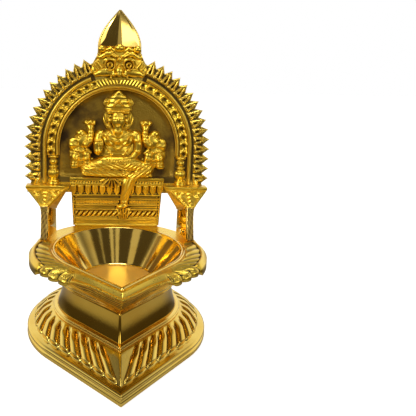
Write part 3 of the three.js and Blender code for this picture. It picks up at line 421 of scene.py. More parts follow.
turns = turn_along(share)
right = around(turns, reach(turns, half_r, half_r * point_ratio), foot_centre_y, half_z)
left = right[:, -2:0:-1] * (-1, 1, 1)
# The flute valleys are painted dark, and the foot's brass is a little darker than the polished brass: painted
# shade.
valley = (1 - crest) ** 1.6 * fluted * (place >= 0)
foot_recess = np.concatenate([valley, valley[:, -2:0:-1]], 1) * 0.92
foot_brass = brass("foot_brass", (0.88, 0.62, 0.13), (0.13, 0.09, 0.016), 0.1, 0.3, 0.2, 1.6)
solid("foot_casting", np.concatenate([right, left], 1), foot_brass, "foot", foot_recess, round_both=True)


# The step moulding: a flat ring with a round bead on its edge, cast brass, brazed between the foot
# and the neck.

even = np.linspace(-np.pi, np.pi, 361)[:-1]


def teardrop_shell(profile, centre_y=foot_centre_y):
    """Teardrop rings from rows of radius, point and height, all round one centre or one for each row."""
    radius, point, z = (np.asarray(profile)[:, k:k + 1] for k in range(3))
    centre = np.broadcast_to(np.reshape(centre_y, (-1, 1)), radius.shape)
    return around(even[None, :], reach(even[None, :], radius, point), centre, z)


step_profile = rounded([
    (29.5, 13.8), (35.2, 13.8), (35.5, 14.0), (35.6, 14.6), (34.9, 14.9), (34.9, 15.1), (35.4, 15.4),
    (35.2, 16.0), (34.2, 16.2), (29.5, 16.2),
], 2)
step_profile = np.stack([step_profile[:, 0], step_profile[:, 0] * point_ratio, step_profile[:, 1]], -1)
solid("step_ring", teardrop_shell(step_profile), polished, "step_moulding", round_both=True)


# The neck: a hollow waist with a sharp keel in front, cast, filed and polished; its brass is painted
# darker than the rest, as painted shade.

neck_up = np.linspace(0, 1, 25)
flare = (1 - neck_up) ** 2.2
neck_lean = 2.95
neck_outer = np.stack([
    30.2 + 3.2 * flare, 46.2 + 3.1 * flare - neck_lean * neck_up, 16.3 + 13.8 * neck_up
], -1)
neck_inner = np.array([(27.3, 41.5 - neck_lean, 30.1), (27.3, 41.5, 16.3)])
neck_centres = foot_centre_y - neck_lean * np.concatenate([neck_up, [1, 0]])
neck_shell = teardrop_shell(np.vstack([neck_outer, neck_inner]), neck_centres)
# A darker copy of the polished brass: painted shade on the neck.
neck_brass_painted_dark = brass("neck_brass_painted_dark", (0.68, 0.43, 0.06), (0.2, 0.11, 0.012), 0.1, 0.4, 0.2, 1.6)
solid("neck_casting", neck_shell, neck_brass_painted_dark, "neck", round_both=True)


# The cup: a bowl turned on a lathe, with a flat floor and a cone of a wall that draws out into a
# spout. It is polished inside, the lip is rounded, and grooves run round it under the flange. Its
# slanting front is left with chased strokes.

cup_centre_y = 5.45
cup_bottom_y = 8.4
cup_base, cup_floor, cup_top, collar_base = 30.2, 31.3, 49.0, 45.9


def fascia(z):
    """The point's reach at a height of the slanting front, in step from the keel to the shoulder."""
    return 43.25 + (59.3 - 43.25) * (z - cup_base) / (collar_base - cup_base)


outside = rounded([
    (29.8, 30.2), (31.0, 30.5), (31.6, 31.0), (31.9, 31.6), (31.2, 32.0), (31.2, 32.3), (31.9, 32.7),
    (31.9, 33.4), (31.3, 33.8), (31.3, 34.1), (32.2, 34.6), (32.4, 35.5), (33.0, 36.6), (33.6, 37.6),
    (34.8, 38.5), (36.0, 39.4), (36.9, 41.0), (37.8, 42.5), (37.95, 43.6), (38.0, 44.7), (38.0, 45.8),
], 2)
outside = np.stack([outside[:, 0], fascia(outside[:, 1]), outside[:, 1]], -1)
lip = np.array([
    (36.2, 54.3, 45.8), (36.2, 54.3, 49.0), (36.0, 53.9, 49.4), (35.5, 53.1, 49.6), (34.8, 52.1, 49.55),
    (34.3, 51.45, 49.3), (34.15, 51.2, 49.1),
])
wall_top, wall_foot = np.array([34.1, 51.1, cup_top]), np.array([20, 20.6, cup_floor])
wall = wall_top + (wall_foot - wall_top) * np.linspace(0, 1, 22)[1:, None]
floor_rows = (wall_foot - (0, 0, cup_floor)) * np.linspace(0.985, 0.02, 12)[:, None] + (0, 0, cup_floor)
underside = np.array([(0.5, 0.51, 28.3), (27.0, 37.9, 28.3), (27.0, 37.9, 30.2)])
cup_rows = np.vstack([underside, outside, lip, wall, floor_rows])
rows_under_fascia = 41
lip_from, fascia_from = len(underside) + len(outside), len(underside) + rows_under_fascia
cup_z = cup_rows[:, 2:]
cup_centres = cup_bottom_y + (cup_centre_y - cup_bottom_y) * np.clip(
    (cup_rows[:, 2] - cup_base) / (collar_base - cup_base), 0, 1)
cup_centres[lip_from:] = cup_centre_y
from_front = np.degrees(np.abs(even))[None, :]
on_front = within(cup_z, 35.8, 37.2, 44.6, 45.7) * (np.arange(len(cup_rows))[:, None] < lip_from)
on_front = on_front * (1 - step(from_front, 62, 80))
stroke = np.cos(2 * np.pi * (cup_z / 1.9 + 0.35 * np.sin(from_front * 0.24) + 0.02 * from_front))
flecks = np.cos(from_front * 1.7 + cup_z * 2.1) * np.cos(from_front * 0.63 - cup_z * 1.3)
stroke = stroke * (0.6 + 0.4 * flecks)
# The troughs of the chased strokes are painted dark: residue and painted shade.
cup_recess = on_front * np.clip(0.55 - 0.45 * stroke, 0, 1)
# The inner wall is painted darker towards both sides in upright streaks, and more on the right: painted
# shade.
painted_wall_shade = (0.4 + 0.3 * np.cos(even * 19)) * (1 + 0.6 * (even > 0))
cup_recess[lip_from + len(lip):-len(floor_rows)] = within(from_front, 35, 55, 125, 140) * painted_wall_shade
outwards = np.stack([np.sin(even), -np.cos(even), 0 * even], -1)[None]
cup_shell = teardrop_shell(cup_rows, cup_centres) + outwards * (on_front * 0.28 * stroke)[..., None]
cup = solid("oil_cup", cup_shell, polished, "cup", cup_recess)
# The cup's floor gets a rough turned finish, painted lighter than the polished brass: painted light.
turned = brass("turned_brass_painted_light", (0.98, 0.76, 0.24), (0.4, 0.25, 0.06), 0.5, 0.55, 0.0, 1.0)
face_row = np.append(np.repeat(np.arange(len(cup_rows) - 1), len(even)), [0, len(cup_rows)])
add_finishes(cup, (turned, carved), np.where(face_row >= len(cup_rows) - len(floor_rows), 1, np.where(
    (face_row >= fascia_from) & (face_row < lip_from - 1), 2, 0)))


# The rim collar: a flange of leaves cast in brass round the cup's lip. On each side veins fan out from a
# stalk beside the mouth to three small lobes and one large lobe with a thick plain edge. In front two
# ridges follow the mouth to the point, and the back is a plain band under the plate.

def bell(distance, half_width):
    """1 at no distance, and less beside it by the bell curve of the distance in half widths."""
    return np.exp(-(distance / half_width) ** 2)


def swell(angle):
    """A wave from 0 to 1: a half and half the cosine."""
    return 0.5 + 0.5 * np.cos(angle)


collar_turns = np.linspace(-np.pi, np.pi, 1081)[:-1]
away = np.degrees(np.abs(collar_turns))[None, :]
carved_part = 1 - step(away, 98, 110)
small_lobes = within(away, 29, 33, 56, 60)
side_lobe = within(away, 56, 62, 98, 112)
front_leaf = 1 - step(away, 26, 34)
lobe_wave = np.abs(np.sin(np.radians((away - 31) * 180 / 9.0)))
top_rows = 40
across = np.concatenate([np.linspace(0, 1, top_rows), [1.0, 0.985, 0.93, 0.8, 0.45, 0.1, 0.0]])[:, None]
on_top = np.arange(len(across))[:, None] < top_rows
outer = (reach(np.radians(away), 47.4, 62.2) + small_lobes * (lobe_wave ** 0.6 - 0.7) * 2.0
         + side_lobe * (0.6 - 0.9 * step(away, 92, 110))
         - front_leaf * 1.5 * np.sin(np.pi * np.clip(away / 32, 0, 1)) ** 2)
inner = reach(np.radians(away), 36.55, 54.8)
reach_at = inner + (outer - inner) * across
stalk = (20.6, -26.3)
from_stalk_x = reach_at * np.sin(np.radians(away)) - stalk[0]
from_stalk_y = cup_centre_y - reach_at * np.cos(np.radians(away)) - stalk[1]
fan_turn = np.degrees(np.arctan2(from_stalk_y, from_stalk_x))
fan_far = np.hypot(from_stalk_x, from_stalk_y)
vein = swell(2 * np.pi * (fan_turn + 0.5 * fan_far) / 9.5)
plain_edge = step(across, 0.66, 0.74) * side_lobe
vein_depth = (0.6 * (1 - front_leaf) * carved_part * step(fan_far, 2, 8) * step(across, 0.02, 0.2)
              * (1 - plain_edge) * (1 - 0.6 * small_lobes * step(across, 0.75, 1)))
edge_groove = 0.55 * side_lobe * bell(across - 0.69, 0.045)
lobe_gap = 0.9 * small_lobes * (1 - lobe_wave) ** 3 * step(across, 0.35, 0.8)
front_shape = front_leaf * np.interp(
    across, [0, 0.2, 0.3, 0.42, 0.62, 0.82, 0.92, 1], [0, 0, 0, 0.6, 1.4, 1.4, 0.9, 1.1])
edge_roll = step(across, 0.8, 1.0)
droop = across ** 2 * 1.5 * carved_part * (1 - front_leaf) + front_shape
bulge = (0.7 * side_lobe * np.sin(np.pi * np.clip((across - 0.6) / 0.4, 0, 1))
         + 0.5 * small_lobes * lobe_wave * step(across, 0.5, 0.9))
collar_top = 49.1
top_z = (collar_top - droop - vein * vein_depth - edge_groove - lobe_gap + bulge
         - edge_roll ** 2 * 0.8 * (1 - front_leaf))
thick = 3.2 + across * (side_lobe * 2.8 - (1 - carved_part) * 0.7 + small_lobes * 0.9 - front_leaf * 1.9)
bottom_z = collar_top - droop - thick + (1 - across) * 0.2
bottom_z = np.maximum(bottom_z, collar_base * front_leaf + 0.6 * front_leaf * step(across, 0.75, 1))
collar_z = np.where(on_top, np.minimum(top_z, collar_top), bottom_z + edge_roll)
collar = around(collar_turns[None, :], reach_at, cup_centre_y, collar_z)
# Veins, grooves and the gaps between lobes are painted dark, and the flange's edge and underside a little:
# residue and painted shade.
collar_low = (vein * (vein_depth > 0.25) * 0.62 + edge_groove * 1.1 + lobe_gap
              + 0.5 * front_leaf * bell(across - 0.6, 0.14))
leaf_brass = brass("leaf_brass", (0.96, 0.67, 0.09), residue_and_shade, 0.3, 0.6, 0.8, 0.6)
solid("leaf_flange", collar, leaf_brass, "rim_collar", np.where(on_top, collar_low, 0.3), round_both=True)


# The back plate: one flat brass casting, satin-ground on its back. Its arch has a row of teeth, each a
# rounded blade with a wedge cut along it, its top is drawn up into a spade, and its stem stands on the
# rim. The niche's floor is left rough and dark.

plate_front, plate_back, niche_floor = 44.35, 48.35, 45.75
arch_z = 98.0
tooth_tip, tooth_length, tooth_pitch, tooth_count = 55.99, 4.0, 6.05, 15
first_tooth = np.radians(22)
arc_length = (np.pi / 2 - first_tooth) * tooth_tip


def arch_place(distance, radius):
    """A place at a distance along the toothed edge from its first tooth: round the arch at an angle of
    distance over tip radius, and below the arch's centre straight down."""
    angle = first_tooth + np.minimum(distance, arc_length) / tooth_tip
    drop = np.maximum(distance - arc_length, 0)
    return radius * np.sin(angle), arch_z + radius * np.cos(angle) - drop


def arch_coordinates(x, z):
    """The opposite: the distance along the toothed edge and the radius, for any place on the plate."""
    angle = np.arctan2(np.abs(x), z - arch_z)
    above = z >= arch_z
    along = np.where(above, (angle - first_tooth) * tooth_tip, arc_length + arch_z - z)
    return along, np.where(above, np.hypot(x, z - arch_z), np.abs(x))


def bezier(points, count):
    """A cubic curve through its first and last points: each point weighs as the powers of t and 1 - t."""
    t = np.linspace(0, 1, count)[:, None]
    a, b, c, d = (np.asarray(p, float) for p in points)
    return a * (1 - t) ** 3 + 3 * b * t * (1 - t) ** 2 + 3 * c * t * t * (1 - t) + d * t ** 3


def from_nearest(distance, pitch):
    """How far a place is from the nearest of the marks that lie a pitch apart."""
    return ((distance / pitch + 0.5) % 1 - 0.5) * pitch


edge_distance = np.linspace((tooth_count - 0.5) * tooth_pitch, -tooth_pitch / 2, tooth_count * 12 + 1)
from_tip = np.abs(from_nearest(edge_distance, tooth_pitch)) / (tooth_pitch / 2)
teeth = np.stack(arch_place(edge_distance, tooth_tip - tooth_length * from_tip ** 0.85), -1)
sweep = bezier([teeth[-1], teeth[-1] + (-4.5, 2.5), (12.9, 150.5), (12.7, 156.5)], 16)[1:]
spade_curve = [(12.7, 156.5), (12.9, 164.2), (8.3, 169.6), (1.1, 177.8)]
spade_tip = [(0.8, 178.1), (0.4, 178.33), (0, 178.39)]
spade = np.vstack([bezier(spade_curve, 57)[1:], spade_tip])
foot_edge = np.linspace((0, 49.2), (26.5, 49.2), 18)
stem_edge = np.linspace((26.5, 49.2), (27.7, 70), 12)[1:]
shoulder_edge = np.linspace((27.7, 70), (54.7, 70), 12)[1:]
half_outline = np.vstack([foot_edge, stem_edge, shoulder_edge, teeth, sweep, spade])
outline = np.vstack([half_outline, half_outline[-2:0:-1] * (-1, 1)])


def inset(loop, distance):
    """A loop drawn in by a distance along the average of its two sides' normals at each point."""
    before, after = loop - np.roll(loop, 1, 0), np.roll(loop, -1, 0) - loop
    sides = [side / np.maximum(np.linalg.norm(side, axis=1, keepdims=True), 1e-9) for side in (before, after)]
    normal = (sides[0] + sides[1])[:, ::-1] * (-1, 1)
    return loop + distance * normal / np.maximum(np.linalg.norm(normal, axis=1, keepdims=True), 1e-9)


def niche_loop(loop, radius, foot_z):
    """Where the line from the arch's centre to each point of a loop meets an arch on straight legs."""
    out = loop - (0, arch_z)
    out = out / np.linalg.norm(out, axis=1, keepdims=True)
    flat = radius / np.maximum(np.abs(out[:, 0]), 1e-6)
    down = np.where(out[:, 1] < 0, (arch_z - foot_z) / np.maximum(-out[:, 1], 1e-6), np.inf)
    distance = np.where(out[:, 1] >= 0, radius, np.minimum(flat, down))
    return (0, arch_z) + out * distance[:, None]


def at_depth(loop, y):
    """A flat loop of x and height, set at one depth."""
    return np.stack([loop[:, 0], np.full(len(loop), y), loop[:, 1]], -1)


def drawn_in(loop, y, shares):
    """A flat loop at one depth, once for each share of its size about the arch's centre."""
    return [at_depth((0, arch_z) + (loop - (0, arch_z)) * share, y) for share in shares]


def half_round(t, centre, half_width):
    """Height of a round bead across a strip: root of 1 less the square of the distance in half widths."""
    return np.sqrt(np.clip(1 - ((t - centre) / half_width) ** 2, 0, 1))


def tooth_height(x, z):
    """Height over the plate's front, and darkness painted as residue and shade in each cut and between the
    teeth: each tooth is a rounded blade that widens inwards, with a wedge cut along its middle that ends
    in a deep round pit beside the outer roll."""
    along, radius = arch_coordinates(x, z)
    inward = np.clip((tooth_tip - radius) / 9.0, 0, 1.2)
    beside = np.abs(from_nearest(along, tooth_pitch))
    row = (along > -0.55 * tooth_pitch) & (along < (tooth_count - 0.45) * tooth_pitch)
    half_width = 0.35 + 2.35 * np.clip(inward, 0, 1) ** 0.8
    blade = (0.5 + 1.1 * inward) * half_round(beside, 0, half_width) * (1 - step(inward, 0.97, 1.08))
    cut = np.clip(1 - (beside / (0.25 + 1.0 * inward)) ** 1.6, 0, 1) * within(inward, 0.12, 0.75, 0.86, 0.97)
    flank = (1 - step(blade, 0.0, 0.5)) * step(inward, 0.3, 0.5)
    dark = np.clip(1.1 * cut * step(inward, 0.35, 0.8) + 0.75 * flank, 0, 1)
    return np.where(row, np.maximum(blade - 1.9 * cut, -0.9), 0), np.where(row, dark, 0)


front_rim, back_rim = inset(outline, 0.35), inset(outline, 0.3)
niche_edge = niche_loop(outline, 34.7, 79.8)
band = front_rim + (niche_edge - front_rim) * np.linspace(0, 1, 56)[:, None, None]
raised, tooth_residue_and_shade = tooth_height(band[..., 0], band[..., 1])
raised[-1] = 0
rear_rings = [*drawn_in(back_rim, plate_back, (0.01, 0.4, 0.8, 0.97, 1)),
              at_depth(outline, plate_back - 0.3), at_depth(outline, plate_front + 0.35)]
band_rings = np.stack([band[..., 0], plate_front - raised, band[..., 1]], -1)
floor_rings = drawn_in(niche_loop(outline, 34.3, 80.1), niche_floor, np.linspace(1, 0.01, 12))
plate_rings = np.concatenate([rear_rings, band_rings, floor_rings])
band_from, floor_from = len(rear_rings), len(rear_rings) + len(band_rings)
plate_recess = np.zeros(plate_rings.shape[:2])
plate_recess[band_from:floor_from] = tooth_residue_and_shade
plate_recess[floor_from:] = 0.5
plate = solid("arched_plate", plate_rings, satin, "back_plate", plate_recess)
tooth_brass = brass("tooth_brass", (0.96, 0.69, 0.12), residue_and_shade, 0.27, 0.6, 0.1, 0.8)
patina = brass("niche_patina", (0.42, 0.26, 0.035), (0.045, 0.022, 0.004), 0.42, 0.62, 4.0, 0.9, mottle=2.6)
face_row = np.append(np.repeat(np.arange(len(plate_rings) - 1), len(outline)), [0, len(plate_rings)])
add_finishes(plate, (tooth_brass, patina), np.digitize(face_row, (band_from - 1, floor_from - 1)))


# The finial: a polished spade on the front of the plate's top, with a raised border, a bevel inside it
# and a rounded upright ridge.

def relief(name, heights, left, right, columns, height, floor_y, towards_front, back, material, node,
           cavity=1.0, blur=4, floor_recess=0.0):
    """A closed relief over a floor. Each row is at one height from the ground and runs from its left
    edge to its right edge; the height function gives how far the face stands off the floor. Its back
    is flat. The recess is the cavity times how far the face lies under the average of its surroundings,
    a blur's count of points each way, and the bare floor has a recess of its own. The recess paints the
    hollows dark, as residue and as painted shade."""
    z = np.asarray(heights, float)[:, None]
    u = np.linspace(0, 1, columns)[None, :]
    x = np.reshape(left, (-1, 1)) * (1 - u) + np.reshape(right, (-1, 1)) * u
    x, z = np.broadcast_arrays(x, z)
    off = height(x, z)
    face = np.stack([x, floor_y + towards_front * off, z], -1)
    rear = np.stack([face[:, -1], face[:, 0]], 1)
    rear[..., 1] = back
    smooth = off
    for axis in (0, 1):
        pads = [(blur, blur) if k == axis else (0, 0) for k in (0, 1)]
        total = np.cumsum(np.pad(smooth, pads, mode="edge"), axis)
        ahead = np.take(total, np.arange(2 * blur, total.shape[axis]), axis)
        behind = np.take(total, np.arange(total.shape[axis] - 2 * blur), axis)
        smooth = (ahead - behind) / (2 * blur)
    low = np.clip((smooth - off) * cavity + floor_recess * (off < 0.35), 0, 1)
    low = np.concatenate([low, low[:, -1:], low[:, :1]], 1)
    return solid(name, np.concatenate([face, rear], 1), material, node, low)


spade_heights = np.linspace(156.9, 178.2, 150)
spade_side = np.vstack([bezier(spade_curve, 200), spade_tip])
spade_half = np.maximum(np.interp(spade_heights, spade_side[:, 1], spade_side[:, 0]) - 0.35, 0.05)


def spade_height(x, z):
    """A round border, then a bevel that rises to a face, and two slopes that meet in a rounded ridge."""
    half = np.interp(z, spade_heights, spade_half)
    inwards = 1 - np.clip(np.abs(x) / half, 0, 1)
    bevel = 0.08 + 0.2 * step(z, 157, 163)
    on_bevel = np.minimum(inwards / bevel, 1)
    on_face = np.maximum(inwards - bevel, 0) / (1 - bevel)
    ridge = on_face - 2.5 * np.maximum(on_face - 0.8, 0) ** 2
    rise = (3.6 * bevel * on_bevel + (2.75 - 3.6 * bevel) * ridge) * (half / 12.4) ** 0.8
    from_edge = inwards * half
    border = 0.55 * half_round(from_edge, 0.45, 0.5)
    return np.maximum(0.25 * step(from_edge, 0, 0.2) + rise, border) * step(z, 156.8, 157.6) * 0.98 + 0.02


relief("spade_finial", spade_heights, -spade_half, spade_half, 97, spade_height, plate_front - 0.1, -1,
       plate_front, polished, "finial", cavity=0.2)


# The arch mouldings: an outer roll that ends at the mask's cheeks, a chain of leaves with drilled pits,
# and the niche's double ring. They are cast with the plate, and their crests are polished.

strip_points = 25


def arch_strip(radius, foot_z, width, section, columns, stretch=(0.0, 1.0), lift=0.1):
    """Rings of points across a raised strip, along an arch on legs from its left foot to its right. The
    section gives the height from the distance to the arch's top and the place across, -1 to 1."""
    leg, arc = arch_z - foot_z, np.pi * radius
    whole = 2 * leg + arc
    s = (np.linspace(*stretch, columns) * whole)[:, None]
    t = np.linspace(-1, 1, strip_points)[None, :]
    heights = np.broadcast_to(section(s - whole / 2, t), (columns, strip_points))
    t_all = np.concatenate([t, [[1.0, -1.0]]], 1)
    h_all = np.concatenate([heights, np.full((columns, 2), -lift)], 1)
    reach_here = radius + t_all * width / 2
    angle = (s - leg) / radius
    x = np.where(s < leg, -reach_here, np.where(s > leg + arc, reach_here, -reach_here * np.cos(angle)))
    z = np.where(s < leg, foot_z + s, np.where(
        s > leg + arc, arch_z - (s - leg - arc), arch_z + reach_here * np.sin(angle)))
    return np.stack([x, plate_front - lift - h_all, z], -1)


def strip_recess(rings, level=0.8):
    """Dark where a strip lies lower than a level over the plate: residue and painted shade."""
    return np.clip(1.2 * (level - (plate_front - rings[..., 1])) / level, 0, 1)


def roll_section(s, t):
    """A broad roll with a thin bead on its inner side."""
    return 1.5 * half_round(t, 0.2, 0.8) + 0.9 * half_round(t, -0.78, 0.2)


def ring_section(s, t):
    """Two round beads side by side, the outer one broader."""
    return 1.5 * half_round(t, 0.3, 0.68) + 1.0 * half_round(t, -0.72, 0.27)


roll_brass = brass("roll_brass", (0.97, 0.69, 0.1), residue_and_shade, 0.4, 0.6, 0.8, 0.6)
roll_radius, roll_foot, cheek_x = 43.8, 75.8, 16.4
roll_length = 2 * (arch_z - roll_foot) + np.pi * roll_radius
cheek_share = roll_radius * np.arcsin(cheek_x / roll_radius) / roll_length
for name, stretch in (("left", (0.0, 0.5 - cheek_share)), ("right", (0.5 + cheek_share, 1.0))):
    rings = arch_strip(roll_radius, roll_foot, 2.4, roll_section, 130, stretch)
    solid(f"outer_roll_{name}", rings, roll_brass, f"arch_moulding_{name}", strip_recess(rings))

band_foot = 93.1
bead_rings = arch_strip(36.0, band_foot, 2.6, ring_section, 180)
solid("niche_bead", bead_rings, roll_brass, "niche_ring", strip_recess(bead_rings))


def leaf_section(s, t):
    """Leaves that climb to the top on both sides: each curls as a crest over a slanting oval hollow, above
    a low stalk. Under the mask the band has small slanting tongues instead."""
    p = (58.0 - np.abs(s)) / 5.2 % 1
    far = np.hypot((p - 0.42 + 0.16 * t) / 0.28, (t - 0.1) / 0.56)
    crest = bell(far - 1.35, 0.45) * np.clip(0.3 + (p - 0.25) * 2.0 - 0.35 * t, 0.1, 1.1)
    stalk = 0.5 * bell(t + 0.4 - 0.6 * p, 0.3)
    rim = 0.7 * half_round(t, 0.92, 0.12) + 0.6 * half_round(t, -0.92, 0.12)
    vine = 0.7 + 0.95 * crest + 0.35 * stalk + rim - 0.95 * np.exp(-far ** 2.4)
    slant = np.abs(s) / 1.9 - 0.45 * t
    tongues = 0.35 + 0.38 * swell(2 * np.pi * slant) ** 0.7 * half_round(t, 0, 1)
    return np.clip(np.where(np.abs(s) < 13.5, tongues, vine), -0.3, 1.75)


leaf_radius, leaf_lift = 39.95, 0.1
leaf_rings = arch_strip(leaf_radius, band_foot, 4.7, leaf_section, 520, lift=leaf_lift)
leaf_heights = plate_front - leaf_lift - leaf_rings[:, :strip_points, 1]
# Low places of the band are painted dark: residue and painted shade.
leaf_low = np.clip((0.85 - leaf_heights) * 0.85, 0, 0.85)
leaf_low = np.concatenate([leaf_low, leaf_low[:, -1:], leaf_low[:, :1]], 1)
solid("leaf_band", leaf_rings, carved, "leaf_chain", leaf_low)


# The pillars: pots and rings one on the other, cast with the plate and half sunk in it, standing on the
# shelves.

pillar_profile = rounded([
    (75.8, 3.8), (76.4, 3.8), (76.9, 3.4), (77.4, 3.7), (78.0, 3.7), (78.5, 2.6), (79.0, 2.3), (79.6, 2.6),
    (80.6, 3.3), (82.2, 3.6), (83.8, 3.3), (84.8, 2.2), (85.2, 1.9), (85.6, 2.6), (86.2, 2.9), (86.7, 2.6),
    (87.0, 1.9), (87.4, 1.8), (88.4, 2.5), (89.4, 2.7), (90.2, 2.3), (90.8, 1.8), (91.2, 2.0), (91.6, 3.1),
    (92.3, 3.3), (92.8, 3.2),
], 2)
sides = (("left", -1), ("right", 1))
half_turn = np.linspace(np.pi, 0, 33)[None, :]
pillar_z, pillar_r = np.broadcast_arrays(pillar_profile[:, :1] + 0 * half_turn, pillar_profile[:, 1:])
lobes = (1 + 0.07 * np.cos(half_turn * 12) * within(pillar_z, 79.4, 80.4, 84.0, 84.9)
         + 0.05 * np.cos(half_turn * 9) * within(pillar_z, 87.6, 88.2, 90, 90.6))
# Each pillar is painted darker where it narrows between its pots: residue and painted shade.
for name, side in sides:
    pillar = np.stack([
        side * 38.5 + pillar_r * np.cos(half_turn) * np.minimum(lobes, 1),
        plate_front - 0.1 - pillar_r * np.sin(half_turn) * lobes, pillar_z
    ], -1)
    solid(f"pot_pillar_{name}", pillar, carved, f"pillar_{name}", np.clip((3.0 - pillar_r) * 0.5, 0, 1))


# The guardian mask at the top of the arch: cast in relief, with ringed eyes, brows, three knobs over
# them, a broad nose, whiskers and a row of teeth. Its crests are burnished.

sunk = -0.6


def union(*heights, blend=0.35):
    """The highest of several heights, with a fillet where two that stand off the floor are within the
    blend of each other."""
    whole = heights[0]
    for one in heights[1:]:
        near = np.maximum(blend - np.abs(whole - one), 0) * (np.minimum(whole, one) > sunk + 0.1)
        whole = np.maximum(whole, one) + near * near / (4 * blend)
    return whole


def dome(x, z, centre, half, top, base=0.0, turn=0.0, power=0.5):
    """A rounded boss: base plus top times a power of 1 less the squared distance in half widths."""
    c, s = np.cos(turn), np.sin(turn)
    dx, dz = x - centre[0], z - centre[1]
    q = 1 - ((dx * c + dz * s) / half[0]) ** 2 - ((dz * c - dx * s) / half[1]) ** 2
    return np.where(q > 0, base + top * np.maximum(q, 0) ** power, sunk)


def along_path(x, z, path):
    """For each place: its distance from a line through points, and how far along the line it lies."""
    best = np.full(x.shape, 1e9)
    where = np.zeros(x.shape)
    walked = 0.0
    for (ax, az), (bx, bz) in zip(path[:-1], path[1:]):
        length = np.hypot(bx - ax, bz - az)
        t = np.clip(((x - ax) * (bx - ax) + (z - az) * (bz - az)) / length ** 2, 0, 1)
        d = np.hypot(x - ax - t * (bx - ax), z - az - t * (bz - az))
        where = np.where(d < best, walked + t * length, where)
        best = np.minimum(best, d)
        walked += length
    return best, where, walked


def limb(x, z, path, widths, lifts, round_by=1.0):
    """A round bar along a line, whose half width and lift off the floor run evenly from end to end."""
    distance, where, whole = along_path(x, z, path)
    half = np.interp(where / whole, np.linspace(0, 1, len(widths)), widths)
    lift = np.interp(where / whole, np.linspace(0, 1, len(lifts)), lifts)
    arc = np.sqrt(np.maximum(half ** 2 - distance ** 2, 0))
    return np.where(distance < half, lift + round_by * arc, sunk)


def line(x, z, path, half_width):
    """1 on a line through points, and fading beside it."""
    return bell(along_path(x, z, path)[0], half_width)


def beads(x, z, path, pitch, radius):
    """A row of half balls along a line, from 0 to 1 in height."""
    distance, where, _ = along_path(x, z, path)
    beside = ((where / pitch) % 1 - 0.5) * pitch
    return np.sqrt(np.clip(1 - (distance ** 2 + beside ** 2) / radius ** 2, 0, 1))


def ring_line(x, z, centre, radius, half_width):
    """1 on a circle, and fading beside it."""
    return bell(np.hypot(x - centre[0], z - centre[1]) - radius, half_width)


def spot(x, z, centre, half_x, half_z=None):
    """1 at a point, and fading round it as an oval."""
    return bell(x - centre[0], half_x) * bell(z - centre[1], half_z or half_x)


def mask_height(x, z):
    """The mask, the same on both sides."""
    x = np.abs(x)
    eye = (5.5, 147.0)
    h = union(
        dome(x, z, (0, 147.8), (13.4, 10.2), 1.5, power=0.3),
        dome(x, z, (12.6, 144.0), (3.9, 4.4), 1.3),
        dome(x, z, (0, 156.7), (3.3, 2.5), 3.3, 0.9),
        dome(x, z, (10.5, 156.0), (2.7, 2.2), 3.0, 0.9),
        limb(x, z, [(3.2, 155.0), (5.2, 156.4), (7.6, 155.6)], (0.9, 1.2, 0.8), (1.6, 2.0, 1.5)),
        limb(x, z, [(1.8, 151.9), (4.6, 153.4), (8.2, 153.0), (11.2, 151.3)],
             (1.0, 1.5, 1.5, 1.1), (2.1, 2.3, 2.1, 1.6)),
        limb(x, z, [(11.2, 151.3), (13.2, 151.2), (13.2, 153.0)], (1.0, 0.9, 0.6), (1.5, 1.6, 1.8)),
        limb(x, z, [(2.3, 148.4), (3.6, 150.4), (6.2, 150.9), (8.8, 149.6), (9.4, 147.4)],
             (0.5, 0.8, 0.8, 0.5), (2.2, 2.4, 2.4, 1.8)),
        dome(x, z, (0, 150.2), (1.5, 1.6), 1.9, 2.0),
        dome(x, z, (0, 146.9), (1.0, 1.0), 1.6, 2.3),
        dome(x, z, eye, (1.9, 1.9), 1.5, 2.0),
        limb(x, z, [(10.6, 145.4), (13.0, 148.4)], (0.9, 0.9), (1.9, 1.9)),
        limb(x, z, [(13.4, 144.4), (15.0, 146.6)], (0.8, 0.6), (1.4, 1.2)),
        dome(x, z, (0, 143.6), (2.6, 2.9), 2.4, 1.9),
        dome(x, z, (0, 141.7), (1.9, 1.5), 2.2, 2.4),
        dome(x, z, (3.2, 141.6), (1.6, 1.3), 1.9, 2.0),
        dome(x, z, (8.0, 142.7), (5.4, 2.5), 2.0, 1.9, -0.1, 0.35),
        dome(x, z, (12.9, 141.6), (2.5, 1.7), 1.9, 1.2, -0.3),
        limb(x, z, [(4.7, 140.2), (5.0, 138.8)], (0.8, 0.35), (2.6, 2.4)),
    )
    h = h + 0.9 * ring_line(x, z, eye, 2.9, 0.5) * (h > 0)
    h = h - 0.8 * ring_line(x, z, eye, 2.15, 0.3) * (h > 0) - 2.6 * spot(x, z, eye, 0.8)
    h = h - 0.8 * line(x, z, [(1.0, 140.0), (5.0, 139.9), (12.0, 139.6)], 0.4)
    h = h - 0.5 * line(x, z, [(2.6, 152.2), (6.4, 154.4), (10.4, 153.6)], 0.3)
    h = h - 0.7 * line(x, z, [(2.0, 144.6), (2.6, 142.8)], 0.35)
    fang = 1.6 * (np.abs(x - 4.8) < 0.75 - 0.35 * (139.7 - z))
    h = np.where((z < 139.7) & (x < 11.5), np.minimum(h, 0.9 + fang), h)
    return np.clip(h, sunk, 4.4)


mask_rows = np.linspace(138.5, 159.2, 116)
mask_half = np.interp(mask_rows, [138.5, 140.4, 143, 146, 149, 152, 156, 159.2],
                      [11.2, 14.6, 16.5, 16.5, 15, 13.2, 12.4, 11.9])
relief("guardian_mask", mask_rows, -mask_half, mask_half, 190, mask_height, plate_front - 0.1, -1,
       plate_front + 1.0, carved, "monster_mask", cavity=0.6, blur=6)


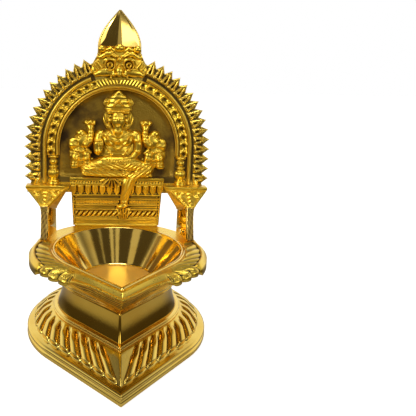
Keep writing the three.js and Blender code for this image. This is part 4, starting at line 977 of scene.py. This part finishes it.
# The throne: mouldings across the front of the stem, a row of hanging petals and one of beads under
# the seat, and a twisted row near its foot. The seated figure's clothed lower leg hangs in front of it,
# its foot on a small lotus, beside a fan of cloth. All of it is cast relief.

throne_levels = np.array([
    (49.2, 1.9), (50.2, 1.9), (50.6, 1.2), (52.8, 1.1), (53.1, 1.9), (53.7, 1.9), (54.0, 1.1), (54.9, 1.1),
    (55.3, 0.8), (59.2, 0.8), (59.4, 2.0), (60.1, 2.1), (60.4, 0.8), (62.0, 0.8),
    (62.2, 2.0), (63.0, 2.0), (63.3, 0.8), (65.9, 0.8), (66.1, 2.1), (66.9, 2.1), (67.2, 0.9), (68.4, 0.9),
    (68.6, 2.2), (69.3, 2.3), (69.6, 1.6), (73.0, 2.5), (75.0, 2.6), (75.2, 3.0), (76.4, 3.1), (76.8, 2.6),
    (77.8, 2.7), (78.1, 3.5), (79.6, 3.5),
])
rope_z, rope_half = 57.2, 1.9


def throne_height(x, z):
    """Mouldings by height alone, with the rope, petals and beads on them and fan, leg and lotus over them."""
    h = np.interp(z, throne_levels[:, 0], throne_levels[:, 1])
    inside = np.abs(x) < 25.2
    strand = half_round((x / 3.0 - (z - rope_z) / 4.2) % 1, 0.5, 0.42) * half_round(z, rope_z, rope_half)
    h = np.maximum(h, np.where(inside & (np.abs(z - rope_z) < rope_half), 0.7 + 1.9 * strand, 0))
    petal_x = from_nearest(np.abs(x), 4.4)
    petal = half_round(petal_x, 0, 2.05 * np.clip((z - 69.4) / 2.2, 0.05, 1) ** 0.5)
    petals = 1.3 + (1.3 + 0.12 * (z - 69.5)) * petal - 0.35 * bell(petal_x, 0.25) * (petal > 0.3)
    h = np.where((z > 69.5) & (z < 74.9), petals, h)
    h = h + np.where(np.abs(z - 64.5) < 1.2, 0.35 * np.sin(2 * np.pi * x / 1.9) ** 2, 0) * inside
    h = h + 0.6 * beads(x, z, [(-27.5, 77.3), (27.5, 77.3)], 1.7, 0.7)
    h = h - np.where(inside, 0, 0.5) * ((z > 50.5) & (z < 68.5))
    fan_angle, fan_far = np.arctan2(x + 3.2, 81.5 - z), np.hypot(x + 3.2, 81.5 - z)
    fan = (4.0 + 0.7 * np.cos(fan_angle * 17) - 0.012 * fan_far ** 2) * step(8.6 - fan_far, 0, 0.9)
    h = np.where((np.abs(fan_angle) < 1.15) & (fan_far < 8.4), np.maximum(h, fan), h)
    leg = limb(x, z, [(9.0, 80.5), (6.6, 76.5), (4.9, 68.0), (4.5, 63.6)],
               (3.6, 3.4, 2.8, 2.2), (2.9, 2.9, 2.5, 2.2), 0.6)
    folds = 0.22 * np.cos(2 * np.pi * (x * 0.42 - z * 0.16))
    anklet = 0.5 * line(x, z, [(2.6, 65.2), (6.8, 65.2)], 0.4)
    foot = dome(x, z, (3.6, 62.3), (3.7, 1.7), 2.3, 1.8, 0.25)
    lotus_x = x - 4.2
    lotus = 2.6 - 0.05 * lotus_x ** 2 + 0.45 * np.cos(lotus_x * 3.0 * (1 + 0.12 * (61.0 - z)))
    on_lotus = (z < 61.0) & (z > 54.2) & (np.abs(lotus_x) < np.clip(4.9 - 0.35 * (61.0 - z), 0.3, 5))
    h = union(h, leg + (folds + anklet) * (leg > 0), foot, np.where(on_lotus & (lotus > 0.5), lotus, sunk))
    return np.clip(h, 0.1, 5.3)


throne_rows = np.linspace(49.25, 79.75, 150)
throne_half = np.interp(throne_rows, [49.2, 69.4, 72.6, 79.8], [25.4, 26.6, 28.3, 28.4])
relief("throne_relief", throne_rows, -throne_half, throne_half, 260, throne_height, plate_front - 0.1, -1,
       plate_front + 0.6, carved, "throne_panel", cavity=1.7, blur=5)


# The goddess: seated on the throne in a tiered crown, with necklaces and pleated dress, one leg folded
# and one hanging. The casting is burnished on its high places. The face is a plain calm one.

def goddess_height(x, z):
    """Folded legs, body, arms and head as joined bosses and bars, with their ornaments."""
    m = np.abs(x)
    legs = union(
        dome(x, z, (0, 85.0), (21.4, 5.6), 2.4, power=0.3),
        limb(x, z, [(2, 89.0), (-9, 88.4), (-18.6, 85.2)], (4.6, 4.8, 3.8), (1.8, 2.2, 1.6)),
        limb(x, z, [(-2, 89.0), (9, 88.4), (18.6, 85.4)], (4.6, 4.8, 3.8), (1.6, 2.0, 1.6)),
        limb(x, z, [(-19.0, 83.8), (-6, 83.2), (6.5, 82.4)], (2.9, 3.0, 2.2), (3.0, 3.4, 3.2)),
        limb(x, z, [(18.4, 84.8), (13.0, 83.2), (8.5, 80.4)], (3.3, 3.2, 3.0), (2.6, 3.2, 2.6)),
        limb(x, z, [(15.0, 81.6), (20.4, 81.4)], (1.5, 1.2), (3.2, 2.6)),
    )
    fold_phase = np.where(x < 4, x * 0.30 + z * 0.62, -x * 0.42 + z * 0.5)
    folds = 0.75 * (np.abs(np.cos(np.pi * fold_phase * 0.8)) ** 0.6 - 0.6) * (z < 89.6)
    hem = 0.5 * line(x, z, [(-20.0, 85.6), (-8, 86.4), (5, 85.2), (12, 82.8)], 0.35)
    body = union(
        dome(x, z, (0, 96.0), (12.6, 11.5), 2.7, power=0.3),
        dome(x, z, (0, 95.0), (9.6, 9.0), 3.9, power=0.4),
        dome(x, z, (0, 104.0), (11.4, 6.4), 4.3, power=0.4),
        dome(m, z, (4.3, 102.8), (4.0, 3.7), 1.5, 3.4),
        dome(m, z, (10.6, 105.6), (3.6, 3.5), 4.2),
        limb(x, z, [(0, 107.5), (0, 112.0)], (3.4, 3.0), (2.0, 2.4)),
    )
    arms = union(
        limb(m, z, [(11.2, 105.4), (12.3, 100.6), (12.0, 96.0)], (2.6, 2.5, 2.3), (2.2, 2.8, 3.0)),
        limb(x, z, [(-12.0, 96.2), (-10.8, 96.6), (-10.2, 98.6)], (2.2, 1.9, 1.7), (3.0, 3.8, 4.1)),
        dome(x, z, (-10.4, 101.0), (2.0, 2.9), 1.7, 4.4, 0.15),
        limb(x, z, [(12.0, 96.0), (9.2, 92.8), (6.4, 91.6)], (2.2, 1.9, 1.6), (3.0, 3.8, 4.0)),
        dome(x, z, (5.2, 91.2), (2.9, 1.8), 1.5, 4.3),
    )
    locks = 1.7 + 0.45 * np.abs(np.cos(np.pi * np.arctan2(m - 6.2, z - 108.0) * 5.4)) ** 0.7
    hair = np.where(np.hypot(m / (8.3 + 0.12 * (122 - z)), (z - 115.6) / 7.6) < 1, locks, sunk)
    crown_half = np.interp(z, [120.2, 121.2, 128.6, 130.8, 132.2], [7.4, 8.2, 5.4, 2.6, 0.7])
    tiers = 1.2 + 2.9 * half_round(m, 0, crown_half) + 0.4 * np.abs(np.cos(np.pi * (z - 120.4) / 2.7)) ** 0.6
    crown = np.where((z > 120.2) & (z < 132.2) & (m < crown_half), tiers, sunk)
    ear_disc, crown_disc = (5.8, 111.3), (7.0, 125.4)
    head = union(
        hair,
        crown,
        dome(x, z, (0, 115.0), (4.3, 5.5), 2.6, 3.2, power=0.36),
        dome(m, z, (5.2, 114.4), (1.2, 2.1), 1.5, 2.9),
        dome(m, z, ear_disc, (1.7, 1.7), 1.5, 2.5),
        limb(x, z, [(-5.8, 119.4), (0, 120.0), (5.8, 119.4)], (1.1, 1.2, 1.1), (3.5, 4.1, 3.5)),
        dome(m, z, crown_disc, (2.4, 2.5), 2.2, 1.4),
    )
    h = union(legs + (folds + hem) * (legs > 0.6), body, arms, head)

    nose = 0.8 * spot(m, z, (0, 114.9), 0.8, 2.3) + 0.28 * spot(m, z, (0, 113.2), 1.1, 0.5)
    eyelid = 0.22 * spot(m, z, (1.9, 115.8), 0.9, 0.45)
    under_eye = 0.24 * line(m, z, [(1.0, 115.2), (1.9, 115.05), (2.8, 115.35)], 0.22)
    brow = 0.22 * line(m, z, [(0.85, 117.1), (1.9, 117.5), (3.1, 117.0)], 0.26)
    mouth = 0.28 * line(m, z, [(0, 111.95), (0.75, 112.0), (1.25, 112.15)], 0.22)
    lower_lip = 0.22 * spot(m, z, (0, 111.4), 0.85, 0.38)
    h = h + nose + eyelid - under_eye + brow - mouth + lower_lip

    h = h + 0.5 * beads(x, z, [(-5.6, 119.8), (5.6, 119.8)], 1.4, 0.62)
    h = h + 0.9 * line(m, z, [(0, 126.4), (2.6, 123.6)], 0.5)
    h = h - 0.5 * line(x, z, [(-6.4, 120.9), (6.4, 120.9)], 0.32)
    h = h - 0.6 * ring_line(m, z, crown_disc, 1.4, 0.34)
    h = h - 0.4 * ring_line(m, z, ear_disc, 0.85, 0.25)
    chest = (z < 110.0) & (z > 91) & (h > 1)
    collar_centre = (0, 112.6)
    under_neck = np.abs(np.arctan2(x, collar_centre[1] - z)) < 1.2
    for radius, width in ((4.7, 0.5), (7.6, 0.5), (10.2, 0.55)):
        h = h + 0.55 * ring_line(x, z, collar_centre, radius, width) * chest * under_neck
    h = h + 0.65 * line(m, z, [(7.2, 107.0), (5.0, 101.5), (0.8, 97.6)], 0.55) * chest
    h = h + 0.5 * line(m, z, [(9.4, 106.5), (7.4, 99.8), (3.4, 94.0)], 0.5) * chest
    h = h + 0.8 * dome(x, z, (0, 101.6), (1.3, 1.6), 1.0).clip(0) * chest
    for level in (95.2, 93.2):
        h = h - 0.4 * line(x, z, [(-5.6, level + 0.5), (0, level), (5.6, level + 0.5)], 0.32)
    h = h + 0.7 * beads(x, z, [(-7.4, 91.2), (0, 90.1), (7.4, 91.2)], 1.6, 0.75)
    for level in (96.6, 103.0):
        h = h + 0.55 * line(m, z, [(9.8, level), (15.0, level - 0.5)], 0.45) * (h > 2)
    for finger in (-11.4, -10.4, -9.4):
        h = h - 0.35 * line(x, z, [(finger, 100.8), (finger - 0.3, 103.6)], 0.22)
    for toe in (3.4, 4.5, 5.6):
        h = h - 0.35 * line(x, z, [(toe, 81.2), (toe, 83.6)], 0.24) * (h > 2)
    return np.clip(h, sunk, 7.15)


goddess_rows = np.linspace(79.95, 132.3, 250)
goddess_half = np.interp(goddess_rows, [80, 88.5, 91.5, 96, 108, 112, 122, 132.3],
                         [23.4, 22.8, 17.6, 15.4, 15.0, 11.4, 10.6, 5.0])
relief("seated_goddess", goddess_rows, -goddess_half, goddess_half, 210, goddess_height, niche_floor, -1,
       niche_floor + 1.0, carved, "goddess", cavity=0.9, blur=5, floor_recess=0.8)


# The attendants: an elephant on each side that lifts a lotus in its trunk beside the goddess. They are
# cast relief.

def attendant_height(x, z):
    """An elephant seen from the front: broad head with a forehead cloth, fanned ear, raised trunk that
    holds a lotus, and forelegs."""
    m = np.abs(x)
    ear = (25.8, 99.0)
    h = union(
        dome(m, z, (22.8, 93.6), (6.6, 8.4), 3.4, power=0.35),
        dome(m, z, (20.8, 101.8), (5.6, 5.6), 3.9, power=0.4),
        dome(m, z, ear, (3.6, 5.0), 2.2, 1.4, -0.25),
        limb(m, z, [(18.8, 100.2), (16.8, 102.6), (16.2, 106.4), (16.5, 109.6)],
             (2.4, 2.1, 1.9, 1.7), (3.0, 2.8, 2.2, 1.9)),
        limb(m, z, [(18.6, 94.0), (18.2, 87.4)], (2.5, 2.3), (2.8, 2.9)),
        limb(m, z, [(25.2, 92.6), (26.0, 87.0)], (2.7, 2.5), (2.2, 2.4)),
        limb(m, z, [(18.4, 97.2), (16.2, 95.2)], (0.95, 0.6), (3.9, 4.3)),
        dome(m, z, (16.6, 113.0), (4.2, 1.9), 2.9, 0.8),
        dome(m, z, (16.6, 110.6), (2.5, 1.8), 2.4, 0.8),
        dome(m, z, (22.2, 106.6), (2.9, 2.2), 2.7, 1.2),
        dome(m, z, (20.6, 89.6), (7.2, 3.4), 1.2, 0.6),
    )
    h = h - 0.7 * ring_line(m, z, (16.6, 113.4), 1.9, 0.5) * (z > 112.6)
    ear_folds = np.cos(np.arctan2(z - 99.5, m - 21.0) * 8)
    h = h + 0.42 * ear_folds * (np.hypot(m - ear[0], z - ear[1]) < 4.4) * (m > 23.4)
    h = h - 0.6 * spot(m, z, (18.9, 102.6), 0.6)
    h = h + 0.55 * beads(m, z, [(17.4, 105.6), (20.6, 106.0), (24.2, 103.8)], 1.5, 0.68)
    h = h + 0.6 * beads(m, z, [(17.8, 97.0), (21.4, 95.6), (27.0, 96.4)], 1.6, 0.72)
    h = h + 0.5 * line(m, z, [(16.5, 92.6), (22, 90.8), (28.4, 92.8)], 0.5) * (h > 1)
    for level in (88.0, 89.6):
        h = h - 0.45 * line(m, z, [(15.5, level), (28.5, level)], 0.28) * (h > 1)
    for ring in (102.8, 104.8, 106.8, 108.8):
        h = h - 0.4 * line(m, z, [(13.6, ring), (18.4, ring - 0.3)], 0.32) * (h > 1)
    return np.clip(h, sunk, 6.0)


attendant_rows = np.linspace(85.8, 115.2, 150)
attendant_near, attendant_far = 13.6, 29.4
for name, side in sides:
    edges = sorted((side * attendant_near, side * attendant_far))
    relief(f"elephant_{name}", attendant_rows, *edges, 84, attendant_height, niche_floor, -1,
           niche_floor + 1.0, carved, f"attendant_{name}", cavity=0.9, blur=5, floor_recess=0.8)


# The struts: one leaning fin on each side, cast brass, brazed on the rim. The narrow front is left rough
# from the mould, its edge is bevelled bright and the inner side is filed smooth.

def filled_loop(corners, cut, between):
    """A closed outline with each corner rounded by five points, on the curve that weighs the corner twice
    and the places a cut away on both sides once, and with points set evenly along each side."""
    corners = np.asarray(corners, float)
    back, ahead = np.roll(corners, 1, 0) - corners, np.roll(corners, -1, 0) - corners
    back, ahead = (cut * side / np.linalg.norm(side, axis=1, keepdims=True) for side in (back, ahead))
    loop = np.stack([corners + 2 * back, corners + back, corners + (back + ahead) * 0.25,
                     corners + ahead, corners + 2 * ahead], 1)
    start, stop = loop[:, 4], np.roll(loop[:, 0], -1, 0)
    share = (np.arange(1, between + 1) / (between + 1))[None, :, None]
    between_corners = start[:, None] + (stop - start)[:, None] * share
    return np.concatenate([loop, between_corners], 1).reshape(-1, loop.shape[2])


def strut_corners(front_y, back_y, outer, front_z, back_z, widen=0.0):
    """The five corners of a strut's section: outer front, two at the bevel, inner back and outer back."""
    inner = outer - 4.2
    corners = [(outer + widen, front_y), (inner + 0.7, front_y), (inner - widen * 0.4, front_y + 1.1),
               (inner - 3.2, back_y), (inner - 0.8 + widen, back_y)]
    return [(x, y, front_z + (back_z - front_z) * (y - front_y) / (back_y - front_y)) for x, y in corners]


strut_rings = np.array([filled_loop(strut_corners(
    15.5 + 6.4 * t ** 1.25, 33.4 + t, 43.2 + 0.3 * t, 49.3 + 18.0 * t, 49.3 + 13.0 * t,
    0.25 * (1 - t) ** 6 + 0.9 * t ** 9,
), 0.16, 4) for t in np.linspace(0, 1, 30)])
strut_x, strut_y, strut_z = np.moveaxis(strut_rings, -1, 0)
mottle = 0.5 + 0.3 * np.sin(strut_z * 1.3) * np.cos(strut_x * 2.9 + strut_z * 0.7)
strut_recess = np.where(strut_y < strut_y.min(1, keepdims=True) + 0.05, mottle, 0.12)
cast_skin = brass("cast_skin", (0.5, 0.33, 0.08), (0.08, 0.04, 0.005), 0.38, 0.6, 3.0, 1.0)
for name, side in sides:
    strut = solid(f"rim_strut_{name}", strut_rings * (side, 1, 1), polished, f"strut_{name}", strut_recess)
    normals = np.zeros(len(strut.data.polygons) * 3)
    strut.data.polygons.foreach_get("normal", normals)
    add_finishes(strut, (cast_skin,), normals[1::3] < -0.92)


# The rivet through the right strut: a brass pin with a round head outside and a flat one inside.

rivet_profile = rounded([
    (36.0, 0.05), (36.0, 1.4), (36.2, 1.85), (36.7, 1.9), (36.9, 1.9), (36.9, 1.1), (42.9, 1.1), (42.9, 1.9),
    (43.3, 1.9), (43.9, 1.5), (44.4, 0.8), (44.5, 0.05),
], 2)
pin_turn = np.linspace(0, 2 * np.pi, 49)[:-1]
rivet = np.stack([
    rivet_profile[:, :1] + 0 * pin_turn,
    23.0 + rivet_profile[:, 1:] * np.cos(pin_turn),
    52.4 + rivet_profile[:, 1:] * np.sin(pin_turn),
], -1)
solid("strut_pin", rivet, polished, "strut_rivet")


# The capitals: funnels that widen from the struts to the shelves under the pillars, cast brass. Each
# has a bright bead at its foot, a plain lip, and leaves in low relief on its faces.

def raised_rings(rings, height):
    """Rings pushed out by a height for each point, along the cross product of the two grid directions."""
    around_it = np.roll(rings, -1, 1) - np.roll(rings, 1, 1)
    normal = np.cross(around_it, np.gradient(rings, axis=0))
    normal /= np.maximum(np.linalg.norm(normal, axis=2, keepdims=True), 1e-9)
    outwards = np.sign(((rings - rings.mean(1, keepdims=True)) * normal).sum())
    return rings + normal * outwards * height[..., None]


funnel_rows, shelf_z = 60, 73.9
funnel_foot = np.array(strut_corners(21.9, 34.4, 43.5, 67.4, 62.5, 0.9))
shelf = np.array([(54.3, 37.0, shelf_z), (31.6, 37.0, shelf_z), (28.9, 39.4, shelf_z), (28.9, 44.25, shelf_z),
                  (54.3, 44.25, shelf_z)])
lip_lift, lip_out = np.array([0.15, 0.5, 1.1, 1.45, 1.6]), np.array([0.0, 0.15, 0.15, 0.1, -0.15])
capital_up = np.append(np.linspace(0, 1, funnel_rows), np.ones(len(lip_lift)))
capital_rings = np.array([filled_loop(funnel_foot + (shelf - funnel_foot) * t, 0.3, 40) for t in capital_up])
capital_rings[funnel_rows:, :, 2] += lip_lift[:, None]
per_side = capital_rings.shape[1] // len(shelf)
from_corner = (np.arange(capital_rings.shape[1]) - 2)[None, :]
side_place = from_corner % per_side / per_side
side_index = from_corner // per_side % len(shelf)
side_length = np.linalg.norm(capital_rings[:, per_side] - capital_rings[:, 0], axis=1)[:, None]
along_side = (side_place - 0.5) * side_length
t_up = capital_up[:, None]
leaf_angle = np.arctan2(along_side, 3.0 + 13 * t_up)
leaf_far = np.hypot(along_side, 3.0 + 13 * t_up)
leaf_lobes = 0.45 + 0.55 * swell(leaf_far * 2.3 + np.abs(leaf_angle) * 3)
curl_far = np.hypot(np.abs(along_side) - 4.6, 16 * (t_up - 0.72))
curl = 0.62 * bell(curl_far - 1.7, 0.5) + 0.6 * bell(curl_far, 0.6)
leaves = np.maximum(0.5 * swell(leaf_angle * 11) ** 1.3 * leaf_lobes, curl)
hatch = 0.3 * swell(2 * np.pi * (side_place * 7 + t_up * 9))
from_edge = 0.5 - np.abs(side_place - 0.5)
field = within(t_up, 0.1, 0.16, 0.86, 0.92) * step(from_edge, 0.05, 0.1) * (side_index < 3)
capital_relief = np.where(side_index == 0, leaves, np.where(side_index == 1, hatch, 0.5 * hatch)) * field
capital_relief = capital_relief + 0.28 * bell(t_up - 0.04, 0.03)
capital_relief[funnel_rows:] = lip_out[:, None]
# The low places of the capitals' leaves and hatching are painted dark: residue and painted shade.
capital_low = np.clip(0.5 - 1.5 * capital_relief, 0, 1) * field
for name, side in sides:
    solid(f"funnel_capital_{name}", raised_rings(capital_rings, capital_relief) * (side, 1, 1), carved,
          f"capital_{name}", capital_low)


# The braze seam: a bead of filler along the foot of the stem's back, lumpy as it ran in. Beside it the
# neck's back has a small pin, hammered in to close a hole.

seam_x = np.linspace(-15.8, 15.8, 140)[:, None]
lumps = 0.75 + 0.22 * np.sin(seam_x * 1.1) + 0.2 * np.sin(seam_x * 2.6 + 1) + 0.12 * np.cos(seam_x * 4.9)
lumps = lumps * (0.75 + 0.25 * step(seam_x, -9, 1))
seam_turn = np.linspace(0, np.pi / 2, 9)
seam = np.stack([
    np.broadcast_to(seam_x, (len(seam_x), len(seam_turn) + 1)),
    np.minimum(48.45 + lumps * 1.6 * np.append(np.cos(seam_turn), 0), 50.3),
    49.25 + lumps * 1.2 * np.append(np.sin(seam_turn), 0),
], -1)
solid("braze_bead", seam, braze, "braze_seam")

pin_profile = rounded([
    (36.8, 0.05), (36.8, 0.9), (37.0, 1.0), (39.2, 1.0), (39.3, 1.4), (39.6, 1.4), (39.9, 0.9), (40.0, 0.05),
], 2)
pin_y, pin_r = pin_profile[:, :1], pin_profile[:, 1:]
pin = np.stack([pin_r * np.cos(pin_turn), pin_y + 0 * pin_turn, 26.7 + pin_r * np.sin(pin_turn)], -1)
solid("neck_plug", pin, braze, "neck_pin")


# The rear plaque: an arched relief cast with the plate. A plain line, a rope of leaves and a second
# line run round it under a rosette, scrolls and a festoon hang in its top, and a row of gadroons is
# its base. A pot of leaves and two birds stand in its field.

plaque_side = [(37.0, 71.6), (39.0, 81.3), (41.3, 90.9), (42.1, 98.5), (41.6, 105.0), (40.3, 111.0),
               (36.9, 119.2), (31.0, 125.9), (23.9, 131.1), (17.7, 134.1), (8.4, 138.0), (3.9, 140.6),
               (0.0, 141.4)]
plaque_floor, inner_floor = 48.5, 49.0
rosette_z, ground_line = 132.3, 77.6
plaque_brass = brass("plaque_brass", (0.9, 0.65, 0.17), (0.3, 0.17, 0.025), 0.3, 0.5, 0.8, 0.8)


def ripple(angle):
    """The cosine of an angle, folded up: from 0 to 1 with sharp valleys."""
    return np.abs(np.cos(angle))


def spiral(x, z, centre, radius, grip, turn=0.0):
    """A ridge that winds out from a centre: a cosine of the angle less the distance over the grip."""
    dx, dz = x - centre[0], z - centre[1]
    far = np.hypot(dx, dz)
    phase = np.arctan2(dz, dx) - turn - 2 * np.pi * far / grip
    return swell(phase) * np.clip((radius - far) * 2, 0, 1)


def garland(x, z, path, half_width, base, lift, pitch, slant=0.0):
    """A round band along a line, cut across into leaves a pitch long that slant with the distance."""
    far, walked, _ = along_path(x, z, path)
    return half_round(far, 0, half_width) * (base + lift * ripple(np.pi * (walked / pitch - far * slant)))


def plaque_height(x, z):
    """Border lines and rope by the distance from the outline, and the ornaments of the field."""
    m = np.abs(x)
    edge, along, _ = along_path(m, z, plaque_side)
    line_out = 0.9 * half_round(edge, 0.75, 0.7)
    line_in = 0.85 * half_round(edge, 7.4, 0.65) * (z > ground_line)
    phase = (along + edge * 0.95) / 2.9
    rope = half_round(edge, 4.0, 2.5) * (0.35 + ripple(np.pi * phase) ** 0.5) * (z > ground_line)
    leaf_cut = 0.25 * bell(edge - 4.0 + 1.1 * np.sin(2 * np.pi * phase), 0.4) * (rope > 0.3)
    h = 0.35 + np.maximum(np.maximum(line_out, line_in), rope - leaf_cut)
    from_rosette = np.hypot(m, z - rosette_z)
    rosette = (0.9 * bell(from_rosette, 1.3) + 0.3 * bell(from_rosette - 1.9, 0.3)
               + 0.8 * bell(from_rosette - 3.3, 0.5))
    h = np.where(from_rosette < 4.2, 0.5 + rosette, h)
    crest = (z > 133) & (edge < 7.0) & (m < 7) & (from_rosette > 4.2)
    h = np.where(crest, 0.55 + 0.6 * swell(m * 2.6) * (edge > 1.4) + line_out, h)
    scrolls = (
        0.95 * spiral(m, z, (6.8, 131.0), 2.4, 2.3) + 0.85 * spiral(m, z, (3.5, 127.6), 1.9, 1.9, 1.5)
        + 0.95 * spiral(m, z, (8.4, 124.8), 2.6, 2.4, 0.6) + 0.8 * spiral(m, z, (17.8, 120.0), 2.3, 2.2, 2.2)
    )
    lower = garland(m, z, [(2.2, 124.6), (6.5, 121.4), (12.5, 121.2), (19.5, 117.2), (24.6, 112.4)],
                    1.9, 0.4, 0.55, 1.9, 0.35)
    upper = garland(m, z, [(9.5, 127.6), (14.0, 124.0), (21.5, 120.6), (24.5, 116.6)], 1.2, 0.35, 0.45, 1.6)
    hung = np.maximum(np.maximum(lower, upper), np.clip(scrolls, 0, 1))
    h = np.maximum(h, 0.4 + hung * (edge > 8.3))
    gadroon = half_round(from_nearest(m, 3.05) * 2 / 3.05, 0, 0.9) * half_round(z, 74.0, 2.3) ** 0.5
    h = np.where((z > 72) & (z < 76.4) & (edge > 1.6), 0.35 + 0.95 * gadroon, h)
    h = np.maximum(h, 0.3 + 0.85 * half_round(z, 77.2, 0.55) * (edge > 2))
    h = h + 0.4 * beads(m, z, [(0, 77.3), (36, 77.3)], 1.5, 0.5)
    weeds = (0.45 * ripple(m * 1.7 + z * 0.9) * np.abs(np.sin(z * 1.25 - m * 0.5))
             + 0.4 * half_round(z - 80.4 - 1.6 * np.sin(m * 0.42), 0, 0.6))
    h = np.where((z > 77.9) & (z < 82.6 + 1.2 * np.sin(m * 0.6)) & (edge > 8), np.maximum(h, 0.4 + weeds), h)
    sprig = half_round(along_path(m, z, [(17.5, 84.0), (19.8, 88.5), (18.8, 92.2), (16.9, 91.4)])[0], 0, 0.8)
    knob = half_round(np.hypot(m - 10.6, z - 97.2), 0, 1.6)
    post = np.maximum(half_round(m, 10.4, 1.0) * ((z > 78) & (z < 96)), knob)
    h = np.maximum(h, 0.35 + 0.8 * sprig)
    h = np.maximum(h, (0.35 + (0.9 + 0.2 * np.cos(z * 3.4)) * post) * (post > 0))
    return np.clip(h, 0.05, 1.75)


plaque_rows = np.linspace(71.65, 141.35, 330)
plaque_half = np.interp(plaque_rows, [z for _, z in plaque_side], [x for x, _ in plaque_side]).clip(0.3)
relief("rear_relief", plaque_rows, -plaque_half, plaque_half, 380, plaque_height, plaque_floor, 1,
       plaque_floor - 0.05, plaque_brass, "rear_plaque", cavity=0.8, blur=5)


def vase_height(x, z):
    """A cone of leaves and a fan of petals over a rim, and a round pot under it with a lattice."""
    m = np.abs(x)
    cone = half_round(m, 0, np.clip((121.0 - z) * 0.78, 0.05, 7.4)) * ((z > 110.6) & (z < 121))
    quilt = 0.3 * ripple((x + z * 0.7) * 1.9) * ripple((x - z * 0.7) * 1.9)
    cone = np.where(cone > 0, 0.3 + 1.3 * cone + quilt, sunk)
    petals = [limb(x, z, [(k * 2.3, 104.4), (k * 3.4, 111.0 - 0.35 * k * k)], (0.75, 1.35), (0.6, 0.9), 0.9)
              for k in (-2, -1, 0, 1, 2)]
    leaf_edges = dome(m, z, (8.4, 109.4), (1.7, 3.4), 1.2, turn=-0.6)
    rim = np.where((np.abs(z - 102.4) < 1.4) & (m < 7.2), 1.7 - 0.7 * bell(z - 102.4, 0.3), sunk)
    neck = np.where((np.abs(z - 100.4) < 0.8) & (m < 6.0), 1.1, sunk)
    pot = dome(x, z, (0, 91.0), (8.7, 9.8), 2.2, 0.2, power=0.4)
    angle = np.arctan2(x, z - 91.0)
    row = np.hypot(x / 8.7, (z - 91.0) / 9.8)
    lattice = 0.3 * np.cos(angle * 9 + row * 12) * np.cos(angle * 9 - row * 12) * (np.abs(z - 96.6) > 0.7)
    band_lines = 0.45 * half_round(z, 96.6, 0.5) + 0.4 * half_round(z, 86.8, 0.45)
    pot = np.where(pot > 0, pot + lattice + band_lines, sunk)
    stand = np.where((np.abs(z - 79.6) < 1.9) & (m < 6.6), 1.2 + 0.35 * np.cos(m * 3.0), sunk)
    return np.clip(union(cone, *petals, leaf_edges, rim, neck, pot, stand), sunk, 3.2)


relief("leaf_vase", np.linspace(78.0, 121.6, 210), -9.9, 9.9, 100, vase_height, inner_floor, 1,
       inner_floor - 0.3, plaque_brass, "rear_vase", cavity=0.8)


def bird_height(x, z):
    """A peacock that faces the pot: head and curved neck, breast, legs, and a tail of curls that falls
    outwards."""
    m = np.abs(x)
    head = union(
        dome(m, z, (13.2, 114.2), (2.4, 2.1), 1.9, 0.4),
        limb(m, z, [(12.0, 113.8), (10.8, 112.2)], (0.9, 0.35), (1.0, 0.7)),
        limb(m, z, [(14.2, 113.2), (16.4, 108.6), (16.0, 103.2), (15.6, 98.0)],
             (1.7, 2.1, 2.5, 2.6), (0.9, 1.0, 0.9, 0.7), 0.7),
        limb(m, z, [(13.6, 116.3), (15.6, 116.6), (17.2, 115.4)], (0.6, 0.7, 0.4), (0.8, 0.9, 0.6)),
    )
    far, walked, _ = along_path(
        m, z, [(17.6, 107.6), (22.5, 105.6), (27.4, 100.8), (29.4, 94.0), (29.0, 85.5), (27.8, 80.6)])
    plume = (0.34 * np.cos(2 * np.pi * (walked / 2.5 - far * far * 0.05))
             + 0.22 * np.cos(2 * np.pi * far / 1.6))
    tail = np.where(far < 3.5, 0.5 + 1.1 * half_round(far, 0, 3.5) + plume, sunk)
    wing = dome(m, z, (21.6, 97.2), (4.4, 6.8), 1.5, 0.5, 0.35)
    scales = 0.3 * np.cos((m + z * 0.6) * 2.3) * np.cos((m - z * 0.6) * 2.3)
    breast = dome(m, z, (17.0, 93.4), (4.0, 5.2), 1.5, 0.4)
    legs = limb(m, z, [(17.6, 88.6), (16.8, 81.0)], (0.95, 0.7), (0.9, 0.8))
    low = union(dome(m, z, (24.6, 86.2), (3.6, 5.4), 1.1, 0.4), legs)
    h = union(head, tail, np.where(wing > 0, wing + scales, sunk), breast, low)
    eye = (13.2, 114.5)
    h = h - 0.5 * spot(m, z, eye, 0.45)
    h = h + 0.35 * ring_line(m, z, eye, 1.0, 0.25) * (h > 0.4)
    h = h + 0.5 * spiral(m, z, (22.4, 101.0), 2.3, 1.9) * (h > 0.2)
    h = h + 0.5 * spiral(m, z, (27.6, 97.0), 2.1, 1.8, 1.0) * (h > 0.2)
    h = h + 0.35 * np.cos(m * 2.6 + z * 1.1) * np.cos(z * 1.9) * ((h > 0.2) & (z < 91) & (m > 19.5))
    return np.clip(h, sunk, 3.4)


bird_rows = np.linspace(79.4, 117.6, 190)
bird_near = np.full(len(bird_rows), 10.5)
bird_far = np.interp(bird_rows, [79, 90, 100, 108, 118], [30.6, 32.4, 33.2, 31.0, 24.0])
for name, side in sides:
    edges = (bird_near, bird_far) if side > 0 else (-bird_far, -bird_near)
    relief(f"peacock_{name}", bird_rows, *edges, 130, bird_height, inner_floor, 1, inner_floor - 0.3,
           plaque_brass, f"rear_bird_{name}", cavity=0.8)
